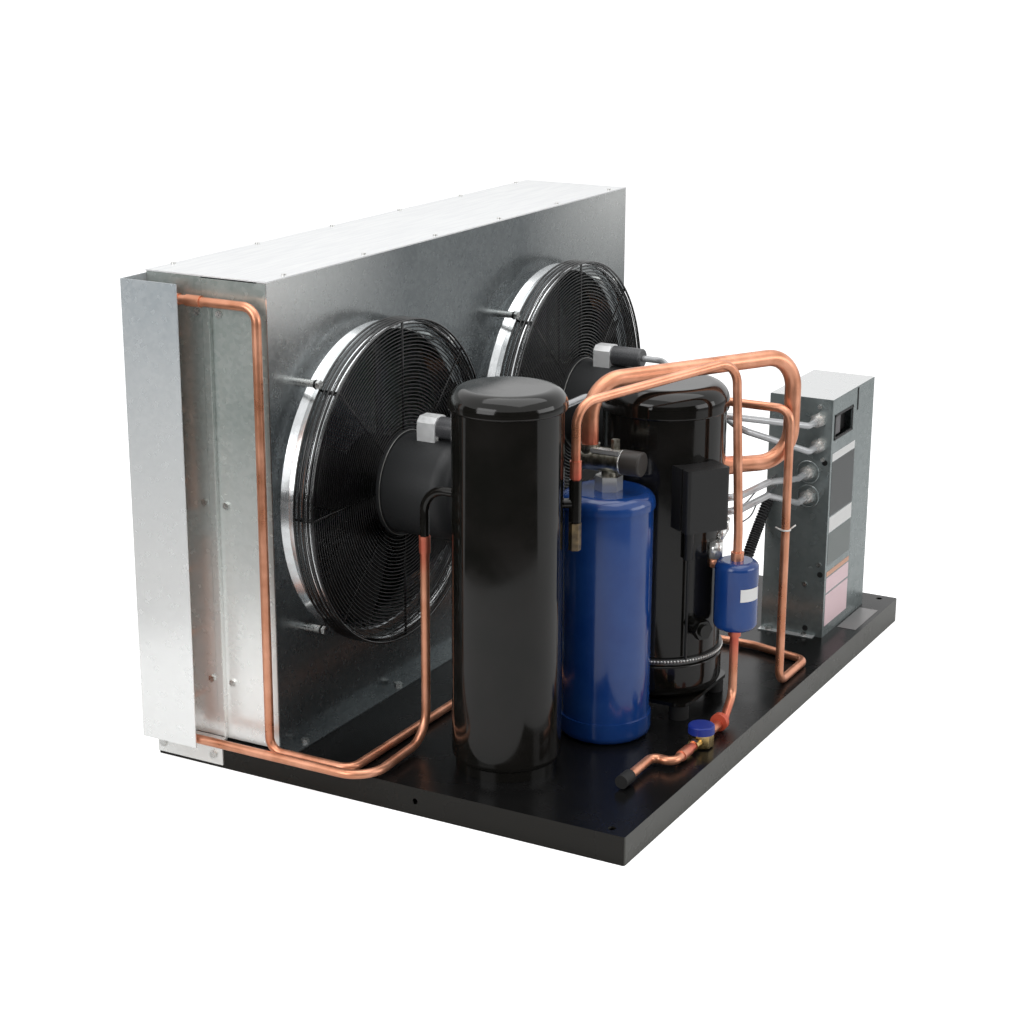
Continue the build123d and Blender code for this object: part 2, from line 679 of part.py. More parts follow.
sight_along = 370
sight_across = 40
outlet_one = [
    at(drier_along, drier_across, drier_bottom - 14),
    at(drier_along, drier_across, liquid_line_up + 24),
    at(drier_along - 58, sight_across, liquid_line_up),
    at(sight_along + 34, sight_across, liquid_line_up),
]
keep(bent_pipe(outlet_one, 24, small_pipe_radius), "drier_outlet_pipe")
with BuildPart() as sight_body:
    hex_bar(at(sight_along, sight_across, base_height + 3), (0, 0, 1), 21, 22)
    sight_inlet = at(sight_along - 34, sight_across, liquid_line_up)
    rod(sight_inlet, (1, 0, 0), small_pipe_radius + coupling_wall, 68)
    rod(at(sight_along, sight_across, base_height + 25), (0, 0, 1), 16, 7)
keep(sight_body.part, "sight_glass_body")
with BuildPart() as sight_cap:
    lid_start = at(sight_along, sight_across, base_height + 25 + cap_clearance)
    rod(lid_start, (0, 0, 1), 22, 14)
    fillet(sight_cap.edges().filter_by(GeomType.CIRCLE).sort_by(Axis.Z)[-1], 3)
    rod(lid_start, (0, 0, 1), 16 + cap_clearance, 7, Mode.SUBTRACT)
keep(sight_cap.part, "sight_glass_cap")

stub_end = 166
stub_across = sight_across + 39
stub_points = [
    at(sight_along - 34, sight_across, liquid_line_up),
    at(260, sight_across, liquid_line_up),
    at(266, stub_across, liquid_line_up),
    at(stub_end, stub_across, liquid_line_up),
]
keep(bent_pipe(stub_points, 15, small_pipe_radius), "liquid_outlet_stub")
with BuildPart() as outlet_cap:
    mouth = at(stub_end + 14, stub_across, liquid_line_up)
    rod(mouth, (-1, 0, 0), 11, 30)
    rod(mouth, (-1, 0, 0), small_pipe_radius + cap_clearance, 14 + cap_clearance, Mode.SUBTRACT)
keep(outlet_cap.part, "liquid_outlet_cap")
with BuildPart() as grommet:
    grommet_face = at(sight_along + 82, sight_across, liquid_line_up + 3)
    rod(grommet_face, (-1, 0, 0), 15, 11)
    rod(at(sight_along + 82, sight_across, liquid_line_up), (-1, 0, 0), small_pipe_radius, 11, Mode.SUBTRACT)
keep(grommet.part, "pipe_grommet")

# brazed sleeves where the pipes join, and the fitting at each end of the drier
with BuildPart() as sleeves:
    rod(at(drier_along, drier_across, drier_top), (0, 0, 1), 11, 14)
    rod(at(drier_along, drier_across, drier_bottom), (0, 0, -1), 11, 14)
    sleeve_list = [
        (at(receiver_along, riser_across, riser_top - 14), (0, 0, 1), small_pipe_radius),
        (at(inlet_along, header_across - 66, inlet_up), (0, 1, 0), small_pipe_radius),
        (at(318, sight_across, liquid_line_up), (-1, 0, 0), small_pipe_radius),
        (at(valve_along, valve_across, valve_top + 2), (0, 0, 1), small_pipe_radius),
    ]
    for start, direction, radius in sleeve_list:
        rod(start, direction, radius + coupling_wall, 28)
        rod(start, direction, radius, 28, Mode.SUBTRACT)
keep(sleeves.part, "brazed_sleeves")

# ---- control box --------------------------------------------------------------
with BuildPart() as box_body:
    slab(box_along, box_across, base_height, box_length, box_depth, box_top - base_height)
    carve(
        box_along + box_sheet,
        box_across,
        base_height + 12,
        cover_width - box_sheet,
        box_depth - box_sheet,
        box_top - base_height - 12 - box_sheet,
    )
    slab(box_along - 16, box_across + 14, base_height, 16, box_depth - 14, box_sheet)
keep(box_body.part, "control_box_body")
with BuildPart() as box_cover:
    slab(
        box_along + box_sheet + cover_gap,
        box_across,
        base_height + 12 + cover_gap,
        cover_width - box_sheet - 2 * cover_gap,
        box_sheet,
        box_top - base_height - 12 - box_sheet - 2 * cover_gap,
    )
    carve(box_along + 14, box_across - 1, window_up, window_length, box_sheet + 2, window_height)
keep(box_cover.part, "control_box_cover")
with BuildPart() as switchgear:
    slab(box_along + 20, box_across + 70, base_height + 12, 90, box_depth - 70 - box_sheet, 300)
    slab(box_along + 14, box_across + 14, window_up, window_length, box_depth - 14 - box_sheet, window_height)
keep(switchgear.part, "control_box_switchgear")

# ---- fasteners, one group of each kind ----------------------------------------
with BuildPart() as panel_screws:
    for number in range(6):
        screw_along = casing_start + 60 + number * (casing_length - 120) / 5
        for screw_across in (casing_front + 9, casing_back - 9):
            rod(at(screw_along, screw_across, casing_top), (0, 0, 1), 4, 3)
    side_screws = ((75, 493), (65, 394), (62, 190), (88, 148))
    for screw_across, screw_up in side_screws:
        rod(at(box_along, screw_across, screw_up), (-1, 0, 0), 4, 3)
keep(panel_screws.part, "panel_screws")

with BuildPart() as foot_bolts:
    for number in range(5):
        bolt_along = casing_start + 50 + number * (casing_length - 100) / 4
        foot_middle = at(bolt_along, casing_front - foot_flange / 2, base_height + casing_sheet)
        hex_bar(foot_middle, (0, 0, 1), 7, 5)
    for bolt_across in (foot_start + 17, foot_start + foot_length - 12):
        hex_bar(at(-3, bolt_across, base_height / 2), (-1, 0, 0), 7, 5)
    for bolt_across in (84, 155):
        hex_bar(at(box_along - 8, bolt_across, base_height + box_sheet), (0, 0, 1), 6, 5)
    for bolt_up in (150, 452, 762):
        for bolt_across in (coil_split - 34, coil_split + 8):
            hex_bar(at(casing_start, bolt_across, bolt_up), (-1, 0, 0), 6, 4)
            hex_bar(at(casing_end, bolt_across, bolt_up), (1, 0, 0), 6, 4)
keep(foot_bolts.part, "hex_bolts")

# ---- flexible conduits from the fans and the compressor to the control box ----
gland_reach = 24
straight_end = 28
conduit_bend = 22
conduit_ends = [(76, 468), (74, 420), (93, 366), (91, 320)]
with BuildPart() as conduit_glands:
    for entry_across, entry_up in conduit_ends:
        hex_bar(at(box_along, entry_across, entry_up), (-1, 0, 0), 14, 9)
        rod(at(box_along - 9, entry_across, entry_up), (-1, 0, 0), conduit_radius + 3, gland_reach - 9)
keep(conduit_glands.part, "conduit_glands")

terminal_axis = at(compressor_along, compressor_across, 0) + terminal_out * (compressor_radius + 5)
conduit_corners = [at(640, casing_front - 235, 540), at(850, casing_front - 330, 530)]
conduit_bundle = [at(757, 150, 506), at(761, 150, 484)]
conduit_points = []
for number, centre_along in enumerate(fan_places):
    entry_across, entry_up = conduit_ends[number]
    conduit_points.append(
        [
            at(centre_along, capacitor_across - capacitor_length, capacitor_up),
            at(centre_along, capacitor_across - capacitor_length - 40, capacitor_up),
            conduit_corners[number],
            conduit_bundle[number],
            at(box_along - gland_reach - straight_end, entry_across, entry_up),
            at(box_along - gland_reach, entry_across, entry_up),
        ]
    )
for number, leave_up in ((2, 428), (3, 404)):
    entry_across, entry_up = conduit_ends[number]
    leave = terminal_axis + terminal_side * (terminal_width / 2) + Vector(0, 0, leave_up)
    conduit_points.append(
        [
            leave,
            leave + terminal_side * 46,
            at(690, 66, leave_up - 12),
            at(box_along - gland_reach - straight_end, entry_across, entry_up),
            at(box_along - gland_reach, entry_across, entry_up),
        ]
    )
with BuildPart() as conduits:
    for points in conduit_points:
        with BuildLine() as route:
            FilletPolyline(*points, radius=conduit_bend)
        with BuildSketch(Plane(origin=points[0], z_dir=points[1] - points[0])):
            Circle(conduit_radius)
        sweep(path=route.wires()[0])
keep(conduits.part, "cable_conduits")

os.makedirs("parts", exist_ok=True)
for part in parts:
    export_step(part, f"parts/{part.label}.step")
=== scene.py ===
import math

import bmesh
import bpy
from mathutils import Matrix, Vector


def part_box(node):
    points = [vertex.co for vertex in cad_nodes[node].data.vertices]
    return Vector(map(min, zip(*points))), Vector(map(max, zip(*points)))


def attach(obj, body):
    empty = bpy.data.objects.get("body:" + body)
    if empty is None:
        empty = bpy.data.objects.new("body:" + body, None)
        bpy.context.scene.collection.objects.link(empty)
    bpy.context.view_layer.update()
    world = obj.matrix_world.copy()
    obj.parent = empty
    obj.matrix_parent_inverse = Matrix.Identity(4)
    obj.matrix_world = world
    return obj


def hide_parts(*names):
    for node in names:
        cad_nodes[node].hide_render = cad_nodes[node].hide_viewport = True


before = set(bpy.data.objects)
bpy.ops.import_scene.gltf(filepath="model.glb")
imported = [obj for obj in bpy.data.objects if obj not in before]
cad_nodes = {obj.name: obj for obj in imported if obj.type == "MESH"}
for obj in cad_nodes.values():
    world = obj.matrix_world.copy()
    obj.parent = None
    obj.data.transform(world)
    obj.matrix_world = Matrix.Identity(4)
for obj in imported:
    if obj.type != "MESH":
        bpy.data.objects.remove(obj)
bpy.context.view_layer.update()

# ---- base pan ------------------------------------------------------------------------
# The real pan is a folded steel tray, flanges down, in black enamel with a glossy top.
# Faces turned towards -X are painted a shade lighter and faces turned towards -Y much
# lighter: painted reflection of the lit floor. Everything else is bolted to it.


def new_material(name, colour, metallic=0.0, roughness=0.5, coat=0.0, specular=0.5):
    """A principled material whose constant values sit on the shader's own sockets."""
    mat = bpy.data.materials.new(name)
    mat.use_nodes = True
    shader = mat.node_tree.nodes["Principled BSDF"]
    shader.inputs["Base Color"].default_value = (*colour, 1.0)
    shader.inputs["Metallic"].default_value = metallic
    shader.inputs["Roughness"].default_value = roughness
    shader.inputs["Coat Weight"].default_value = coat
    shader.inputs["Coat Roughness"].default_value = 0.05
    shader.inputs["Specular IOR Level"].default_value = specular
    return mat


def object_coordinates(mat, stretch=(1.0, 1.0, 1.0)):
    """The object's own coordinates in metres, stretched per axis."""
    tree = mat.node_tree
    place = tree.nodes.new("ShaderNodeTexCoord")
    mapping = tree.nodes.new("ShaderNodeMapping")
    mapping.inputs["Scale"].default_value = stretch
    tree.links.new(place.outputs["Object"], mapping.inputs["Vector"])
    return mapping.outputs["Vector"]


def noise_field(mat, scale, detail=3.0, stretch=(1.0, 1.0, 1.0)):
    """A soft random field fixed to the object; scale counts its blobs per metre."""
    noise = mat.node_tree.nodes.new("ShaderNodeTexNoise")
    noise.inputs["Scale"].default_value = scale
    noise.inputs["Detail"].default_value = detail
    mat.node_tree.links.new(object_coordinates(mat, stretch), noise.inputs["Vector"])
    return noise.outputs["Fac"]


def spread(mat, field, low, high, from_low=0.35, from_high=0.65):
    """The field stretched from its usual range to the values low to high."""
    remap = mat.node_tree.nodes.new("ShaderNodeMapRange")
    remap.inputs["From Min"].default_value = from_low
    remap.inputs["From Max"].default_value = from_high
    remap.inputs["To Min"].default_value = low
    remap.inputs["To Max"].default_value = high
    mat.node_tree.links.new(field, remap.inputs["Value"])
    return remap.outputs["Result"]


def colour_blend(mat, field, first, second):
    """Base colour that runs from first to second with the field."""
    tree = mat.node_tree
    mix = tree.nodes.new("ShaderNodeMix")
    mix.data_type = "RGBA"
    mix.inputs["A"].default_value = (*first, 1.0)
    mix.inputs["B"].default_value = (*second, 1.0)
    tree.links.new(field, mix.inputs["Factor"])
    tree.links.new(mix.outputs["Result"], tree.nodes["Principled BSDF"].inputs["Base Color"])
    return mix


def blend_towards(mat, field, colour):
    """Runs the present base colour towards another one with the field."""
    tree = mat.node_tree
    under = tree.nodes["Principled BSDF"].inputs["Base Color"].links[0].from_node
    over = colour_blend(mat, field, colour, colour)
    tree.links.new(under.outputs["Result"], over.inputs["A"])


def roughness_field(mat, field):
    """Roughness taken from a field."""
    shader = mat.node_tree.nodes["Principled BSDF"]
    mat.node_tree.links.new(field, shader.inputs["Roughness"])


def bump_field(mat, field, strength, height):
    """Surface relief from a field; height is its depth in metres."""
    tree = mat.node_tree
    bump = tree.nodes.new("ShaderNodeBump")
    bump.inputs["Strength"].default_value = strength
    bump.inputs["Distance"].default_value = height
    tree.links.new(field, bump.inputs["Height"])
    tree.links.new(bump.outputs["Normal"], tree.nodes["Principled BSDF"].inputs["Normal"])


def combine(tree, operation, *values):
    """One arithmetic step on fields or plain numbers, in the order given."""
    step = tree.nodes.new("ShaderNodeMath")
    step.operation = operation
    for socket, value in zip(step.inputs, values):
        if isinstance(value, float):
            socket.default_value = value
        else:
            tree.links.new(value, socket)
    return step.outputs["Value"]


def facing(mat, axis, sign):
    """1 where the surface faces along the signed axis, 0 elsewhere."""
    tree = mat.node_tree
    split = tree.nodes.new("ShaderNodeSeparateXYZ")
    tree.links.new(tree.nodes.new("ShaderNodeNewGeometry").outputs["Normal"], split.inputs["Vector"])
    return spread(mat, split.outputs[axis], 0.0, 1.0, 0.5 * sign, 0.9 * sign)


def dress(mat, *names):
    """Gives these solids one material."""
    for name in names:
        mesh = cad_nodes[name].data
        mesh.materials.clear()
        mesh.materials.append(mat)


def enamel(name, colour, dusted, peel=0.12, roughness=0.14, coat=0.15, specular=0.32):
    """Sprayed enamel: a coloured coat with orange peel and a little dust."""
    mat = new_material(name, colour, roughness=roughness, coat=coat, specular=specular)
    dust = noise_field(mat, 14.0, 5.0)
    colour_blend(mat, spread(mat, dust, 0.0, 1.0), colour, dusted)
    roughness_field(mat, spread(mat, dust, roughness, roughness + 0.1))
    bump_field(mat, noise_field(mat, 420.0, 2.0), peel, 0.0002)
    return mat


pan_enamel = enamel("pan_enamel", (0.006, 0.006, 0.006), (0.011, 0.010, 0.009), 0.2, 0.2, 0.0, 0.22)
# Painted reflection: faces towards -X a shade lighter, faces towards -Y much lighter.
colour_blend(pan_enamel, facing(pan_enamel, "X", -1), (0.006, 0.006, 0.006), (0.014, 0.013, 0.011))
blend_towards(pan_enamel, facing(pan_enamel, "Y", -1), (0.080, 0.080, 0.072))
dress(pan_enamel, "base_pan")

# ---- zinc-coated sheet: casing, covers, foot angle, control box ----------------------
# Hot-dip galvanised steel, 1.5 to 2 mm, folded and screwed. The zinc freezes into flat
# crystals, the spangle, each of which catches the light at its own angle.


def galvanised(name, dark, light, crystal=150.0, gloss=0.2, metal=0.5):
    """Zinc coating with spangle: cells of slightly different grey and gloss, and soft stains."""
    mat = new_material(name, light, metallic=metal, roughness=gloss)
    tree = mat.node_tree
    cells = tree.nodes.new("ShaderNodeTexVoronoi")
    cells.inputs["Scale"].default_value = crystal
    tree.links.new(object_coordinates(mat), cells.inputs["Vector"])
    grey = tree.nodes.new("ShaderNodeSeparateColor")
    tree.links.new(cells.outputs["Color"], grey.inputs["Color"])
    stain = spread(mat, noise_field(mat, 5.0, 3.0), 0.0, 1.0)
    mottle = tree.nodes.new("ShaderNodeMix")
    mottle.inputs["Factor"].default_value = 0.45
    tree.links.new(grey.outputs["Red"], mottle.inputs["A"])
    tree.links.new(stain, mottle.inputs["B"])
    colour_blend(mat, mottle.outputs["Result"], dark, light)
    roughness_field(mat, spread(mat, grey.outputs["Green"], gloss, gloss + 0.08, 0.0, 1.0))
    bump_field(mat, noise_field(mat, 7.0, 2.0), 0.2, 0.002)
    return mat


def axis_field(mat, axis, start, end):
    """0 at one distance from the frame's origin along an axis and 1 at another."""
    tree = mat.node_tree
    distance = tree.nodes.new("ShaderNodeVectorMath")
    distance.operation = "ABSOLUTE"
    split = tree.nodes.new("ShaderNodeSeparateXYZ")
    tree.links.new(object_coordinates(mat), distance.inputs[0])
    tree.links.new(distance.outputs["Vector"], split.inputs["Vector"])
    return spread(mat, split.outputs[axis], 0.0, 1.0, start, end)


panel_zinc = galvanised("panel_zinc", (0.17, 0.19, 0.20), (0.25, 0.275, 0.28), gloss=0.2, metal=0.8)
# Painted light: the fan panel pales to near white towards its upper ends.
panel_ends = axis_field(panel_zinc, "X", 0.2, 0.6)
panel_top = axis_field(panel_zinc, "Z", 0.6, 0.8)
panel_corner_light = combine(panel_zinc.node_tree, "MULTIPLY", panel_ends, panel_top)
blend_towards(panel_zinc, panel_corner_light, (0.80, 0.82, 0.81))
dress(panel_zinc, "fan_panel", "coil_support_rail")
collar_zinc = galvanised("collar_zinc", (0.70, 0.72, 0.73), (0.82, 0.84, 0.85), 120.0, 0.16, 0.92)
dress(collar_zinc, "fan_collars")
plate_zinc = galvanised("plate_zinc", (0.32, 0.37, 0.35), (0.48, 0.52, 0.50), metal=0.4)
# Painted light: the end plates and foot angle pale to near white towards the bottom.
blend_towards(plate_zinc, axis_field(plate_zinc, "Z", 0.6, 0.15), (0.94, 0.95, 0.93))
dress(plate_zinc, "casing_end_plates", "coil_foot_angle")
cover_zinc = galvanised("cover_zinc", (0.50, 0.55, 0.58), (0.62, 0.66, 0.68), metal=0.4)
# Painted light: the coil covers pale to near white towards the bottom.
blend_towards(cover_zinc, axis_field(cover_zinc, "Z", 0.8, 0.35), (0.93, 0.94, 0.93))
dress(cover_zinc, "coil_covers")
box_zinc = galvanised("box_zinc", (0.21, 0.25, 0.25), (0.29, 0.33, 0.33), 110.0, 0.2)
# Painted light: faces turned upwards are lighter.
blend_towards(box_zinc, facing(box_zinc, "Z", 1), (0.70, 0.71, 0.71))
dress(box_zinc, "control_box_body", "control_box_cover")

# ---- top panel -----------------------------------------------------------------------
# The casing's lid, one flat sheet, screwed down along both long edges. Its near-white
# colour is painted light on the top sheet, with a faint rolled grain along its length.
lid_sheet = new_material("lid_sheet", (0.80, 0.82, 0.82), metallic=0.15, roughness=0.42)
lid_grain = noise_field(lid_sheet, 60.0, 3.0, (0.2, 3.0, 3.0))
colour_blend(lid_sheet, spread(lid_sheet, lid_grain, 0.0, 1.0), (0.74, 0.75, 0.76), (0.81, 0.82, 0.82))
bump_field(lid_sheet, lid_grain, 0.05, 0.0005)
dress(lid_sheet, "top_panel")

# ---- screws and bolts ----------------------------------------------------------------
# Bright zinc-plated hexagon bolts and pan-head sheet-metal screws.
bright_zinc = new_material("bright_zinc", (0.72, 0.72, 0.70), metallic=1.0, roughness=0.28)
bright_wear = noise_field(bright_zinc, 350.0)
roughness_field(bright_zinc, spread(bright_zinc, bright_wear, 0.2, 0.42))
bump_field(bright_zinc, bright_wear, 0.1, 0.0002)
dress(bright_zinc, "hex_bolts", "panel_screws", "guard_bolts", "conduit_glands", "accumulator_valve_stem")

# ---- finned coil ---------------------------------------------------------------------
# A stack of thin aluminium fins pressed over copper tubes. Each fin is a slip 0.3 mm thick,
# and the stack shows on the open back of the casing. Fins and tubes repeat in even rows.


def join_piece(name, mesh, mat, body):
    """A new object for a finished mesh, riding on a body."""
    piece = bpy.data.objects.new(name, mesh)
    bpy.context.collection.objects.link(piece)
    if mat.name not in mesh.materials:
        mesh.materials.append(mat)
    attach(piece, body)
    return piece


def grow(name, mat, inputs, wire):
    """A plain mesh of one repeated shape; inputs maps each named input to its value."""
    group = bpy.data.node_groups.new(name, "GeometryNodeTree")
    for label, value in inputs.items():
        kind = {int: "NodeSocketInt", float: "NodeSocketFloat"}.get(type(value), "NodeSocketVector")
        group.interface.new_socket(label, in_out="INPUT", socket_type=kind)
    group.interface.new_socket("Geometry", in_out="OUTPUT", socket_type="NodeSocketGeometry")
    start = group.nodes.new("NodeGroupInput")
    grown = wire(group, start.outputs)
    realize = group.nodes.new("GeometryNodeRealizeInstances")
    group.links.new(grown, realize.inputs["Geometry"])
    paint = group.nodes.new("GeometryNodeSetMaterial")
    paint.inputs["Material"].default_value = mat
    group.links.new(realize.outputs["Geometry"], paint.inputs["Geometry"])
    finish = group.nodes.new("NodeGroupOutput")
    group.links.new(paint.outputs["Geometry"], finish.inputs["Geometry"])
    carrier = bpy.data.objects.new(name + "_carrier", bpy.data.meshes.new(name + "_seed"))
    bpy.context.collection.objects.link(carrier)
    modifier = carrier.modifiers.new(name, "NODES")
    modifier.node_group = group
    for item in group.interface.items_tree:
        if item.in_out == "INPUT":
            modifier[item.identifier] = inputs[item.name]
    baked = bpy.data.meshes.new_from_object(carrier.evaluated_get(bpy.context.evaluated_depsgraph_get()))
    carrier.modifiers.clear()
    bpy.data.objects.remove(carrier)
    bpy.data.node_groups.remove(group)
    baked.name = name
    return baked


def row_of(group, sockets, instance):
    """Instances of one shape at Count points, the first at Start, each Step further."""
    line = group.nodes.new("GeometryNodeMeshLine")
    group.links.new(sockets["Count"], line.inputs["Count"])
    group.links.new(sockets["Start"], line.inputs["Start Location"])
    group.links.new(sockets["Step"], line.inputs["Offset"])
    copies = group.nodes.new("GeometryNodeInstanceOnPoints")
    group.links.new(line.outputs["Mesh"], copies.inputs["Points"])
    group.links.new(instance, copies.inputs["Instance"])
    return copies.outputs["Instances"]


def wire_fins(group, sockets):
    """A fin is a thin cuboid of the given Size."""
    cube = group.nodes.new("GeometryNodeMeshCube")
    group.links.new(sockets["Size"], cube.inputs["Size"])
    return row_of(group, sockets, cube.outputs["Mesh"])


aluminium_fin = new_material("aluminium_fin", (0.70, 0.71, 0.72), metallic=1.0, roughness=0.38)
fin_grain = noise_field(aluminium_fin, 120.0, 3.0, (1.0, 1.0, 0.2))
colour_blend(aluminium_fin, spread(aluminium_fin, fin_grain, 0, 1), (0.60, 0.61, 0.62), (0.74, 0.75, 0.76))
fin_low, fin_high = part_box("coil_fins")
fin_middle = (fin_low + fin_high) / 2
fin_pitch = 0.0024
fin_thick = 0.0003
fin_inputs = {
    "Count": int((fin_high.x - fin_low.x - fin_thick) / fin_pitch) + 1,
    "Start": (fin_low.x + fin_thick / 2, fin_middle.y, fin_middle.z),
    "Step": (fin_pitch, 0.0, 0.0),
    "Size": (fin_thick, fin_high.y - fin_low.y, fin_high.z - fin_low.z),
}
fin_mesh = grow("coil_fin_stack", aluminium_fin, fin_inputs, wire_fins)
fins = join_piece("coil_fin_stack", fin_mesh, aluminium_fin, "unit")
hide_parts("coil_fins")

copper_tube = new_material("copper_tube", (0.80, 0.38, 0.18), metallic=1.0, roughness=0.3)
tube_tarnish = noise_field(copper_tube, 30.0)
colour_blend(copper_tube, spread(copper_tube, tube_tarnish, 0, 1), (0.66, 0.28, 0.13), (0.85, 0.44, 0.24))


def wire_tubes(group, sockets):
    """A tube lies along X; Radius and Length are its sizes."""
    tube = group.nodes.new("GeometryNodeMeshCylinder")
    tube.inputs["Vertices"].default_value = 10
    group.links.new(sockets["Radius"], tube.inputs["Radius"])
    group.links.new(sockets["Length"], tube.inputs["Depth"])
    lay = group.nodes.new("GeometryNodeTransform")
    lay.inputs["Rotation"].default_value = (0.0, math.radians(90), 0.0)
    group.links.new(tube.outputs["Mesh"], lay.inputs["Geometry"])
    return row_of(group, sockets, lay.outputs["Geometry"])


tube_count = 28
tube_radius = 0.0048
tube_depth_in_fins = 0.011
tube_pitch = (fin_high.z - fin_low.z) / tube_count
tube_rows = (("front", fin_low.y + tube_depth_in_fins), ("back", fin_high.y - tube_depth_in_fins))
for side, tube_across in tube_rows:
    tube_inputs = {
        "Count": tube_count,
        "Start": (fin_middle.x, tube_across, fin_low.z + tube_pitch / 2),
        "Step": (0.0, 0.0, tube_pitch),
        "Radius": tube_radius,
        "Length": fin_high.x - fin_low.x,
    }
    tube_mesh = grow(f"coil_tubes_{side}", copper_tube, tube_inputs, wire_tubes)
    join_piece(f"coil_tubes_{side}", tube_mesh, copper_tube, "unit")

# ---- copper pipework -----------------------------------------------------------------
# Hard-drawn copper tube, bent cold and brazed. The metal is salmon pink, darker and
# redder for a hand's breadth either side of each brazed joint where the torch passed.


def heat_field(mat, joints, reach):
    """1 at each listed joint, falling to 0 at the given reach from it."""
    tree = mat.node_tree
    here = tree.nodes.new("ShaderNodeTexCoord").outputs["Object"]
    total = None
    for joint in joints:
        distance = tree.nodes.new("ShaderNodeVectorMath")
        distance.operation = "DISTANCE"
        distance.inputs[1].default_value = joint
        tree.links.new(here, distance.inputs[0])
        heat = spread(mat, distance.outputs["Value"], 1.0, 0.0, 0.0, reach)
        total = heat if total is None else combine(tree, "MAXIMUM", total, heat)
    return total


def middle_of(name):
    """The middle of a solid's box."""
    low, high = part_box(name)
    return (low + high) / 2


def end_of(name, *signs):
    """A corner of a solid's box, -1 low and 1 high along X, Y and Z, 0 for the middle."""
    low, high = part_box(name)
    return Vector([(l + h) / 2 + s * (h - l) / 2 for l, h, s in zip(low, high, signs)])


suction_low, suction_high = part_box("suction_pipe")
drier_low, drier_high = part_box("filter_drier_shell")
drier_middle = (drier_low + drier_high) / 2
brazed_joints = [
    end_of("receiver_inlet_elbow", 0, 1, -1),
    end_of("receiver_outlet_valve", 0, -1, 1),
    Vector((suction_low.x + 0.014, suction_high.y - 0.014, suction_low.z + 0.085)),
    end_of("liquid_outlet_stub", 1, -1, 0),
    Vector((drier_middle.x, drier_middle.y, drier_low.z - 0.02)),
    end_of("drier_outlet_pipe", 0, -1, -1),
    middle_of("compressor_ports"),
]
pipe_copper = new_material("pipe_copper", (0.80, 0.38, 0.23), metallic=0.75, roughness=0.3)
pipe_tarnish = noise_field(pipe_copper, 26.0, 4.0)
pipe_heat = heat_field(pipe_copper, brazed_joints, 0.06)
pipe_patches = spread(pipe_copper, pipe_tarnish, 0.0, 1.0, 0.3, 0.7)
colour_blend(pipe_copper, pipe_patches, (0.60, 0.24, 0.13), (0.86, 0.42, 0.27))
blend_towards(pipe_copper, pipe_heat, (0.60, 0.11, 0.07))
roughness_field(pipe_copper, spread(pipe_copper, pipe_tarnish, 0.26, 0.42, 0.3, 0.7))
bump_field(pipe_copper, noise_field(pipe_copper, 60.0), 0.04, 0.001)
dress(pipe_copper, "suction_pipe", "discharge_pipe", "condenser_outlet_pipe", "liquid_pipe")
dress(pipe_copper, "drier_outlet_pipe", "liquid_outlet_stub", "compressor_ports", "brazed_sleeves")
dress(pipe_copper, "inlet_header", "outlet_header", "coil_return_bends")

# ---- pressure vessels and compressor -------------------------------------------------
# Welded steel shells in glossy enamel: receiver and compressor black, accumulator and
# filter drier blue. A weld bead runs round the receiver and the compressor under their caps.


def add_tube(shape, start, end, radius, sides=16):
    """A straight closed tube between two points, added to the shape."""
    run = Vector(end) - Vector(start)
    turn = run.to_track_quat("Z", "Y").to_matrix().to_4x4()
    place = Matrix.Translation((Vector(start) + Vector(end)) / 2) @ turn
    bmesh.ops.create_cone(
        shape, cap_ends=True, segments=sides, radius1=radius, radius2=radius, depth=run.length, matrix=place
    )


def add_block(shape, low, high):
    """A plain block between two corners, added to the shape."""
    middle = (Vector(low) + Vector(high)) / 2
    size = Vector(high) - Vector(low)
    place = Matrix.Translation(middle) @ Matrix.Diagonal((*size, 1.0))
    bmesh.ops.create_cube(shape, size=1.0, matrix=place)


def add_ring(shape, middle, axis, radius, wire, steps=96, sides=8):
    """A round wire ring about an axis, added to the shape."""
    along = Vector(axis).normalized()
    turn = along.to_track_quat("Z", "Y")
    loops = []
    for step in range(steps):
        angle = 2 * math.pi * step / steps
        outward = turn @ Vector((math.cos(angle), math.sin(angle), 0))
        loop = []
        for side in range(sides):
            lean = 2 * math.pi * side / sides
            reach = outward * (radius + wire * math.cos(lean))
            loop.append(shape.verts.new(Vector(middle) + reach + along * wire * math.sin(lean)))
        loops.append(loop)
    for step in range(steps):
        here, there = loops[step], loops[(step + 1) % steps]
        for side in range(sides):
            after = (side + 1) % sides
            shape.faces.new((here[side], there[side], there[after], here[after]))


def make_piece(name, build, mat, body, smooth=True):
    """A new piece made by a building function, riding on a body."""
    mesh = bpy.data.meshes.new(name)
    shape = bmesh.new()
    build(shape)
    bmesh.ops.recalc_face_normals(shape, faces=shape.faces)
    shape.to_mesh(mesh)
    shape.free()
    for polygon in mesh.polygons:
        polygon.use_smooth = smooth and len(polygon.vertices) == 4
    return join_piece(name, mesh, mat, body)


vessel_black = enamel("vessel_black", (0.005, 0.005, 0.004), (0.009, 0.008, 0.007), 0.05, 0.06, 0.1)
dress(vessel_black, "receiver_shell", "receiver_top_cap", "receiver_inlet_elbow", "receiver_outlet_valve")
dress(vessel_black, "compressor_shell", "compressor_top_cap", "compressor_foot_plate", "oil_sight_fitting")
vessel_blue = enamel("vessel_blue", (0.006, 0.04, 0.19), (0.012, 0.055, 0.22), specular=0.45, coat=0.3)
dress(vessel_blue, "accumulator_shell", "filter_drier_shell")


weld_bead = 0.0018


def build_weld(shape, cap):
    cap_low, cap_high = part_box(cap)
    axis = ((cap_low.x + cap_high.x) / 2, (cap_low.y + cap_high.y) / 2, cap_low.z + 0.0012)
    add_ring(shape, axis, (0, 0, 1), (cap_high.x - cap_low.x) / 2 - 0.0045, weld_bead)


